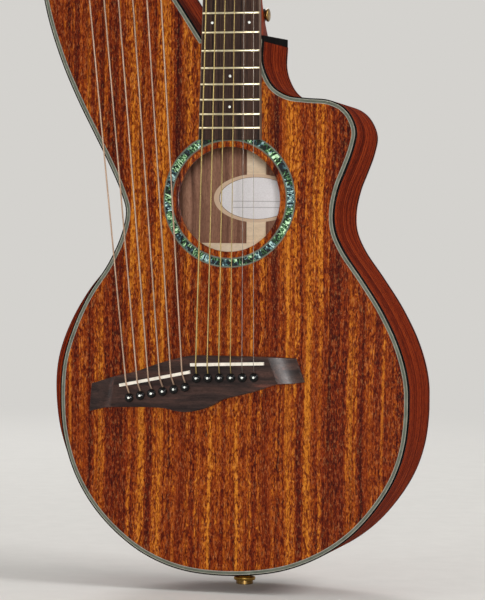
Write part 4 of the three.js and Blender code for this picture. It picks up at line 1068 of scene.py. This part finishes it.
def build_bridge():
    spots = [bridge_point(p) for p in BRIDGE]
    runs = [spots[0:6], spots[6:8], spots[8:22] + [spots[22]]]
    outline = smooth_line(runs[0], 5) + runs[1] + smooth_line(runs[2], 4)
    outline = [tuple(p) for p in outline]
    # The thick middle ends at a straight step on the bass side and at a scooped one on the treble side.
    bass_x = -0.814 * BRIDGE_REACH
    step_top = bridge_point((0.302, 0))
    step_low = bridge_point((0.378, 0.46))
    step_way = (step_low - step_top).normalized()
    step_out = Vector((-step_way.y, step_way.x))
    bass_low = bridge_point((-0.835, 0.92))
    bass_high = bridge_point((-0.802, 0.38))
    bass_way = (bass_low - bass_high).normalized()
    bass_out = Vector((bass_way.y, -bass_way.x))

    def face(x, z):
        out_treble = (Vector((x, z)) - step_top).dot(step_out)
        out_bass = (Vector((x, z)) - bass_high).dot(bass_out)
        if out_treble > 0:
            run = min(out_treble / 22, 1)
            return BRIDGE_FACE + 0.5 * min(out_treble / 0.4, 1) + 4.5 * (1 - (1 - run) ** 2)
        if out_bass > 0:
            run = min(out_bass / 3.5, 1)
            return BRIDGE_FACE + 1.1 * run + 2.9 * min(out_bass / 26, 1)
        return BRIDGE_FACE

    planes = []
    for d in (0, 0.4, 3, 5.5, 8, 10.5, 13, 16, 19, 22):
        spot = step_top + step_out * d
        planes.append(((spot.x, 0, spot.y), (step_out.x, 0, step_out.y)))
    for d in (0, 1.75, 3.5, 12, 26):
        spot = bass_high + bass_out * d
        planes.append(((spot.x, 0, spot.y), (bass_out.x, 0, bass_out.y)))
    part = slab(outline, -20, -TOUCH)
    points, faces = sliced(part, planes)
    points = [Vector((p.x, face(p.x, p.z), p.z)) if p.y < -10 else p for p in points]
    made = piece("bridge_body", points, faces, bridge_wood, "rosewood", stands_for=("bridge",), smooth=20)
    soften(made, 0.9, 3, 45)

    heads = []
    dots = []
    for spot in main_pins + harp_pins:
        at = (spot.x, 0, spot.y)
        base = BRIDGE_FACE
        head = [(0, base + 1), (2.7, base + 1), (2.7, base - 0.05), (4.0, base - 0.25), (4.45, base - 0.9)]
        head += [(4.5 * math.cos(a), base - 1.3 - 2.3 * math.sin(a)) for a in (0.0, 0.3, 0.6, 0.85, 1.1, 1.25)]
        head.append((0, base - 3.58))
        heads.append(lathe(head, 28, at=at))
        top = base - 3.5
        dots.append(lathe([(0, top - 0.2), (0.9, top - 0.16), (1.2, top + 0.05), (1.2, top + 0.5), (0, top + 0.5)],
                          20, at=at))
    piece("bridge_pins", *merged(*heads), black_plastic, "rosewood", smooth=50)
    piece("bridge_pin_dots", *merged(*dots), pearl, "shell")


# ---------------------------------------------------------------- strings
def tube(points, radius, sides=10):
    """A round string along points, with its length as the second texture coordinate."""
    points = [Vector(p) for p in points]
    rings = []
    uvs = []
    length = 0.0
    side = None
    for i, p in enumerate(points):
        way = (points[min(i + 1, len(points) - 1)] - points[max(i - 1, 0)]).normalized()
        if side is None:
            side = way.orthogonal().normalized()
        side = (side - way * side.dot(way)).normalized()
        up = way.cross(side)
        if i:
            length += (p - points[i - 1]).length
        ring = []
        for k in range(sides):
            turn = 2 * math.pi * k / sides
            ring.append(p + (side * math.cos(turn) + up * math.sin(turn)) * radius)
            uvs.append((turn * 0.001, length * MM))
        rings.append(ring)
    points, faces = loft(rings)
    return points, faces, uvs


def eased(corners, reach=2.2, steps=4):
    """The corners of a path with each inner one rounded."""
    corners = [Vector(c) for c in corners]
    out = [corners[0]]
    for before, here, after in zip(corners, corners[1:], corners[2:]):
        start = here + (before - here).normalized() * min(reach, (before - here).length / 3)
        end = here + (after - here).normalized() * min(reach, (after - here).length / 3)
        out.append(start)
        out += bezier(start, here, end, steps=steps)
    out.append(corners[-1])
    return out


def string_piece(name, corners, gauge, look, slot, node):
    points, faces, uvs = tube(eased(corners), gauge / 2)
    piece(name, points, faces, look, slot, stands_for=(node,), uvs=uvs, smooth=60)


def winding_piece(name, matrix, gauge, look, slot, body, turns=3.6):
    """The string's turns round a post, in the machine's frame; they turn with the post."""
    radius = 2.35 + gauge / 2
    steps = int(turns * 18)
    path = []
    for k in range(steps + 1):
        turn = 2 * math.pi * k / 18
        y = -21.5 + (k / 18 - turns / 2) * gauge * 1.04
        path.append(matrix @ Vector((radius * math.cos(turn), y, radius * math.sin(turn))))
    points, faces, uvs = tube(path, gauge / 2, 8)
    piece(name, points, faces, look, slot, body=body, uvs=uvs, smooth=60)


MAIN_GAUGES = [1.4, 1.2, 1, 0.8, 0.6, 0.5]
HARP_GAUGE = 1.55
main_post_places = [36 + 35 * k for k in range(3)]


def build_strings():
    for k, gauge in enumerate(MAIN_GAUGES):
        side = -1 if k < 3 else 1
        z = main_post_places[k if k < 3 else 5 - k]
        lift = gauge / 2 + TOUCH
        beside = side * (HEAD_HALF - POST_INSET) - side * (2.3 + TOUCH + gauge / 2)
        pin = main_pins[k]
        saddle = main_saddle_points[k]
        x = main_at(38.6, k)
        corners = [
            (pin.x, -7.6, pin.y + 2.9),
            (pin.x, BRIDGE_FACE - 0.9, pin.y + 4.2),
            (saddle.x, SADDLE_TOP - lift, saddle.y),
            (x, -(8 + lift), NUT / 2),
            (x, -(8 + lift), NUT),
            head_frame @ Vector((beside, -6.5, z)),
        ]
        metal, slot = (bronze, "wound_string") if k < 4 else (steel, "steel_string")
        number = 6 - k
        string_piece(f"string_{number}", corners, gauge, metal, slot, f"main_string_{number}")
    for k in range(6):
        gauge = HARP_GAUGE
        lift = gauge / 2 + TOUCH
        pin = harp_pins[k]
        saddle = harp_saddle_points[k]
        on_nut = harp_place(k * SPACING, 2.5)
        off_nut = harp_place(k * SPACING, 5)
        post = harp_posts[k]
        corners = [
            (pin.x, -7.6, pin.y + 2.9),
            (pin.x, BRIDGE_FACE - 0.9, pin.y + 4.4),
            (saddle.x, SADDLE_TOP - lift, saddle.y),
            (on_nut.x, -(9 + lift), on_nut.y),
            (off_nut.x, -(9 + lift), off_nut.y),
            (post.x + 2.3 + TOUCH + gauge / 2, -6.5, post.y),
        ]
        string_piece(f"bass_line_{k + 1}", corners, gauge, harp_bronze, "wound_string", f"harp_string_{k + 1}")


# ---------------------------------------------------------------- tuning machines
def gear_part():
    """The worm wheel: fourteen slanted teeth with rounded roots, between chamfered faces."""
    pitch = 4.75
    lead = 2 * math.pi * pitch / 14
    twist_rate = lead / (2 * math.pi * 2.2 * pitch)
    rings = []
    for y, shrink in ((-1.7, 0.35), (-1.4, 0), (-0.7, 0), (0, 0), (0.7, 0), (1.4, 0), (1.7, 0.35)):
        ring = []
        for tooth in range(14):
            middle = tooth / 14 * 2 * math.pi + y * twist_rate
            for at, r in ((-0.5, 3.6), (-0.3, 3.75), (-0.09, 5.1), (0.0, 5.2), (0.09, 5.1), (0.3, 3.75)):
                a = middle + at * 2 * math.pi / 14
                reach = r - shrink
                ring.append(Vector((reach * math.sin(a), GEAR_MIDDLE + y, reach * math.cos(a))))
        rings.append(ring)
    return loft(rings)


def post_part():
    front = -28
    profile = [
        (0, front + 0.5), (1.3, front + 0.5), (1.5, front), (2.3, front), (2.75, front + 0.25), (3, front + 0.8),
        (3, -24.2), (2.85, -23.6), (2.3, -22.4), (2.3, -20.6), (2.85, -19.4), (3, -18.8),
        (3, 2.9), (0, 2.9),
    ]
    screw = [
        (0, 6.9), (0.5, 6.9), (0.5, 7.05), (1.5, 7.05), (1.8, 6.8), (1.8, 2.8), (0, 2.8),
    ]
    return merged(lathe(profile, 28), lathe(screw, 20))


def worm_part():
    lead = 2 * math.pi * 4.75 / 14
    rings = []
    for k in range(91):
        turn = -10 / 6 + k / 90 * 2.5
        x = lead * (turn + 0.5)
        angle = (turn - 0.25) * 2 * math.pi
        ring = []
        for at, r in ((-0.62, 1.2), (-0.24, 2.55), (0, 2.65), (0.24, 2.55), (0.62, 1.2)):
            ring.append(Vector((x + at, GEAR_MIDDLE + r * math.cos(angle), WORM_OFFSET + r * math.sin(angle))))
        rings.append(ring)
    shaft = lathe([(0, -5.4), (1.3, -5.4), (1.5, -5.2), (1.5, 15.8), (0, 15.8)], 24, "X",
                  (0, GEAR_MIDDLE, WORM_OFFSET))
    return merged(loft(rings), shaft)


def button_part():
    """A flattened grip on a collar, wider past its middle and hollowed a little at its sides."""
    profile = [
        (0, 0), (2.4, 0), (2.6, 0.25), (2.5, 1.3), (2.85, 2.2), (4.2, 3.6), (5.8, 5.0), (6.75, 6.6), (6.85, 8.6),
        (6.8, 10.6), (6.5, 12.6), (5.15, 14.4), (3.9, 15.5), (2.3, 15.95), (0, 16),
    ]
    points, faces = lathe(profile, 40, "X")
    out = []
    for p in points:
        flat = 1 - 0.42 * min(max((p.x - 1.2) / 3, 0), 1)
        out.append(Vector((p.x + 15.5, GEAR_MIDDLE + p.y * flat, WORM_OFFSET + p.z)))
    return out, faces


def plate_part(places):
    first = min(places) - 11
    last = max(places) + WORM_OFFSET + 11
    outline = []
    for cx, cz, start in ((4.5, first + 3, -0.5), (4.5, last - 3, 0), (-4.5, last - 3, 0.5), (-4.5, first + 3, 1)):
        for k in range(7):
            turn = math.pi * (start + k / 12)
            outline.append((cx + 3 * math.cos(turn), cz + 3 * math.sin(turn)))
    holes = [circle(3.35, 24, 0, z) for z in places]
    base = slab(outline, TOUCH, 1.5, holes)
    ears = []
    for z in places:
        middle = z + WORM_OFFSET
        arch = [(middle - 2.7, 1.2)]
        for k in range(13):
            turn = math.pi * (1 - k / 12)
            arch.append((middle + 2.7 * math.cos(turn), GEAR_MIDDLE + 2.7 * math.sin(turn)))
        arch.append((middle + 2.7, 1.2))
        bore = [(middle + 1.75 * math.cos(2 * math.pi * k / 20), GEAR_MIDDLE + 1.75 * math.sin(2 * math.pi * k / 20))
                for k in range(20)]
        for x in (-5.1, 3.7):
            points, faces = slab(arch, x, x + 1.4, [bore])
            ears.append(([Vector((p.y, p.z, p.x)) for p in points], faces))
    return merged(base, *ears)


def screws_part(places):
    """Domed screws at the plate's ends and between its machines."""
    spots = [min(places) - 7.5, max(places) + WORM_OFFSET + 7.5]
    spots += [(a + b + WORM_OFFSET) / 2 for a, b in zip(places, places[1:]) if b - a > 30]
    parts = []
    for z in spots:
        profile = [(0, 0.9), (2.0, 0.9), (2.0, 1.6), (1.75, 2.0), (1.1, 2.3), (0, 2.4)]
        parts.append(lathe(profile, 20, at=(0, 0, z)))
    return merged(*parts)


def collar_part():
    return lathe([(5.4, 0.2), (5.4, -0.7), (4.9, -1.1), (3.45, -1.1), (3.3, -0.9), (3.3, 0.2), (5.4, 0.2)], 32)


def build_machine(name, seat, number, gauge, look, slot, wind_name):
    """One tuner: its post and wheel on one body, its worm and button on another."""
    post_body = f"{name}_tuner_post_{number}"
    button_body = f"{name}_tuner_button_{number}"
    wheel = merged(placed(post_part(), seat), placed(gear_part(), seat))
    piece(f"{name}_post_{number}", *wheel, gold, "gold_metal", post_body, (post_body,), smooth=40)
    worm = merged(placed(worm_part(), seat), placed(button_part(), seat))
    piece(f"{name}_button_{number}", *worm, gold, "gold_metal", button_body, (button_body,), smooth=50)
    winding_piece(wind_name, seat, gauge, look, slot, post_body)


def build_machines():
    for sign, name in ((-1, "bass"), (1, "treble")):
        base = head_frame @ Matrix.Translation((sign * (HEAD_HALF - POST_INSET), HEAD_THICK, 0))
        base = base @ Matrix.Diagonal((sign, 1, 1, 1))
        plate = placed(plate_part(main_post_places), base)
        soften(piece(name + "_machine_plate", *plate, gold, "gold_metal", stands_for=(name + "_tuner_plate",)), 0.25, 2)
        piece(name + "_machine_screws", *placed(screws_part(main_post_places), base), gold, "gold_metal")
        front = base @ Matrix.Translation((0, -HEAD_THICK, 0))
        collars = [placed(collar_part(), front @ Matrix.Translation((0, 0, z))) for z in main_post_places]
        piece(name + "_post_collars", *merged(*collars), gold, "gold_metal")
        for number, z in enumerate(main_post_places, 1):
            k = number - 1 if sign < 0 else 6 - number
            look, slot = (bronze, "wound_string") if k < 4 else (steel, "steel_string")
            seat = base @ Matrix.Translation((0, 0, z))
            build_machine(name, seat, number, MAIN_GAUGES[k], look, slot, f"{name}_winding_{number}")
    last = harp_posts[-1]
    turn = math.atan2(-across_nut.y, across_nut.x)
    base = Matrix.Translation((last.x, HEAD_THICK, last.y)) @ Matrix.Rotation(turn, 4, "Y")
    places = [k * SPACING for k in range(6)]
    plate = placed(plate_part(places), base)
    soften(piece("harp_machine_plate", *plate, gold, "gold_metal", stands_for=("harp_tuner_plate",)), 0.25, 2)
    piece("harp_machine_screws", *placed(screws_part(places), base), gold, "gold_metal")
    for k, z in enumerate(places):
        number = 6 - k
        seat = base @ Matrix.Translation((0, 0, z))
        build_machine("harp", seat, number, HARP_GAUGE, harp_bronze, "wound_string", f"harp_winding_{number}")


def build_buttons():
    profile = [(0, 0), (5, 0), (5, 0.8), (4.2, 2), (3.6, 3.3), (3.6, 5.2), (4.4, 6), (6, 6.5), (6.5, 7.1), (6.5, 7.9),
               (6.1, 8.6), (5.2, 9), (2.2, 9), (1.9, 8.7), (0, 8.7)]
    # The knob takes the darker gold: painted shade standing in for the dark reflections on its gold.
    piece("strap_knob", *lathe(profile, 40, "X", (20.3, 30, -296)), dark_gold, "gold_metal",
          stands_for=("strap_button",), smooth=40)
    collar = lathe([(6.2, 3.0), (6.2, 4.4), (3.7, 4.4), (3.7, 3.0), (6.2, 3.0)], 40, "X", (20.3, 30, -296))
    piece("strap_knob_felt", *collar, felt, "rosewood")
    low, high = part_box("end_pin")
    top = high.z / MM
    profile = [(0, 0), (8.5, 0), (8.5, 1.6), (7.2, 2.8), (6.2, 3.8), (6.2, 7.6), (7.4, 8.4), (10.2, 9.1), (10.8, 9.8),
               (10.8, 11.9), (10.3, 12.5), (8.5, 12.55), (8.5, 16.1), (8.1, 16.5), (3.6, 16.5), (3.4, 16.0), (0, 16.0)]
    turned = [(r, top - h) for r, h in profile]
    points, faces = lathe(turned, 48, "Z", (0, 74, 0))
    marks = []
    for face in faces:
        middle = sum(points[i].z for i in face) / len(face)
        marks.append(1 if top - middle > 12.5 else 0)
    piece("tail_pin", points, faces, [gold, dark_gold], "gold_metal", stands_for=("end_pin",), smooth=40, marks=marks)


def dress_nodes():
    """The solids that stay get their finish and rounded edges."""
    for name, material, width in (
        ("nut", bone, 0.7),
        ("harp_nut", bone, 0.9),
        ("main_saddle", bone, 1.2),
        ("harp_saddle", bone, 1.2),
        ("top_bracing", spruce, 0.8),
        ("back_bracing", spruce, 0.8),
        ("neck_block", neck_wood, 0.8),
        ("tail_block", neck_wood, 0.8),
    ):
        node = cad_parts[name]
        node.data.materials.clear()
        node.data.materials.append(material)
        soften(node, width, 3)


# ---------------------------------------------------------------- stage, light and camera
def build_stage():
    """A round pale floor that curves up into its own backdrop, far from the guitar on every side."""
    ground = cad_box[0][2] - 0.0005
    reach, curve, height = 6.0, 5.0, 8.0
    line = [(0.4, ground), (2.5, ground), (reach, ground)]
    for k in range(1, 17):
        turn = math.pi / 2 * k / 16
        line.append((reach + curve * math.sin(turn), ground + curve * (1 - math.cos(turn))))
    line.append((reach + curve, height))
    sides = 96
    points = [Vector((0, 0, ground))]
    for r, z in line:
        for k in range(sides):
            turn = 2 * math.pi * k / sides
            points.append(Vector((r * math.cos(turn), r * math.sin(turn), z)))
    faces = [(0, 1 + k, 1 + (k + 1) % sides) for k in range(sides)]
    for row in range(len(line) - 1):
        start = 1 + row * sides
        for k in range(sides):
            m = (k + 1) % sides
            faces.append((start + k, start + sides + k, start + sides + m, start + m))
    mesh = bpy.data.meshes.new("studio_floor")
    mesh.from_pydata(points, [], faces)
    mesh.polygons.foreach_set("use_smooth", [True] * len(faces))
    look = Look("studio_paper", rough=0.9, specular=0.2)
    grain = look.noise(look.place((40, 40, 40)), 1.0, 4.0)
    look.colour(look.ramp(grain, [(0.3, srgb(224, 222, 218)), (0.7, srgb(228, 226, 222))]))
    # Far away, the camera, metal and gloss see the paper in one even tone.
    x, y, _ = look.node("SeparateXYZ", {0: look.node("TexCoord").outputs["Object"]}).outputs
    span = look.math("SQRT", look.math("ADD", look.math("MULTIPLY", x, x), look.math("MULTIPLY", y, y)))
    far = look.node("MapRange", {"Value": span, "From Min": 0.7, "From Max": 3.0}, interpolation_type="SMOOTHSTEP")
    rays = look.node("LightPath").outputs
    direct = look.math("MAXIMUM", rays["Is Camera Ray"], rays["Is Glossy Ray"])
    seen = look.math("MULTIPLY", far.outputs[0], look.math("MAXIMUM", direct, rays["Is Transmission Ray"]))
    even = look.node("Emission", {"Color": srgb(212, 210, 206)})
    both = look.node("MixShader", {0: seen, 1: look.shader.outputs[0], 2: even.outputs[0]})
    look.tree.links.new(both.outputs[0], look.tree.nodes["Material Output"].inputs["Surface"])
    mesh.materials.append(look.material)
    made = bpy.data.objects.new("studio_floor", mesh)
    bpy.context.scene.collection.objects.link(made)


def lamp(name, spot, aim, size, energy):
    data = bpy.data.lights.new(name, "AREA")
    data.shape = "RECTANGLE"
    data.size, data.size_y = size
    data.energy = energy
    made = bpy.data.objects.new(name, data)
    made.location = spot
    made.rotation_euler = (Vector(aim) - Vector(spot)).to_track_quat("-Z", "Y").to_euler()
    made.visible_camera = False
    bpy.context.scene.collection.objects.link(made)


def build_light():
    world = bpy.data.worlds.new("studio")
    world.use_nodes = True
    world.node_tree.nodes["Background"].inputs["Color"].default_value = (1, 0.99, 0.97, 1)
    world.node_tree.nodes["Background"].inputs["Strength"].default_value = 0.36
    bpy.context.scene.world = world
    aim = (0, 0.05, -0.55)
    lamp("key", (1.14, -4.2, -0.35), aim, (0.5, 0.5), 122)
    lamp("fill", (-2.5, -2.1, 0.2), aim, (1.2, 1.8), 20)
    lamp("side", (2.6, -0.5, 1.3), aim, (1.2, 1.2), 50)
    lamp("rear", (-1.6, 3.4, 1.4), aim, (1.4, 1.4), 70)


def build_camera():
    azimuth, elevation, roll = map(math.radians, (15, 0.87, 0.75))
    back = Vector(
        (math.sin(azimuth) * math.cos(elevation), -math.cos(azimuth) * math.cos(elevation), math.sin(elevation))
    )
    right = Vector((math.cos(azimuth), math.sin(azimuth), 0))
    up = back.cross(right)
    turned_right = right * math.cos(roll) + up * math.sin(roll)
    turned_up = up * math.cos(roll) - right * math.sin(roll)
    spot = Vector((0.0138, 0, -0.5755)) + back * 2.3
    data = bpy.data.cameras.new("camera")
    data.lens = 2365 / 600 * 36
    data.sensor_width = 36
    data.clip_start = 0.05
    data.clip_end = 60
    made = bpy.data.objects.new("camera", data)
    axes = Matrix((turned_right, turned_up, back)).transposed()
    made.matrix_world = Matrix.Translation(spot) @ axes.to_4x4()
    bpy.context.scene.collection.objects.link(made)
    bpy.context.scene.camera = made
    bpy.context.scene.view_settings.view_transform = "Standard"


build_camera()
build_light()
build_stage()
build_body()
build_inside()
build_neck()
build_fretboard()
build_harp_head()
build_bridge()
build_strings()
build_machines()
build_buttons()
dress_nodes()

bpy.context.view_layer.update()
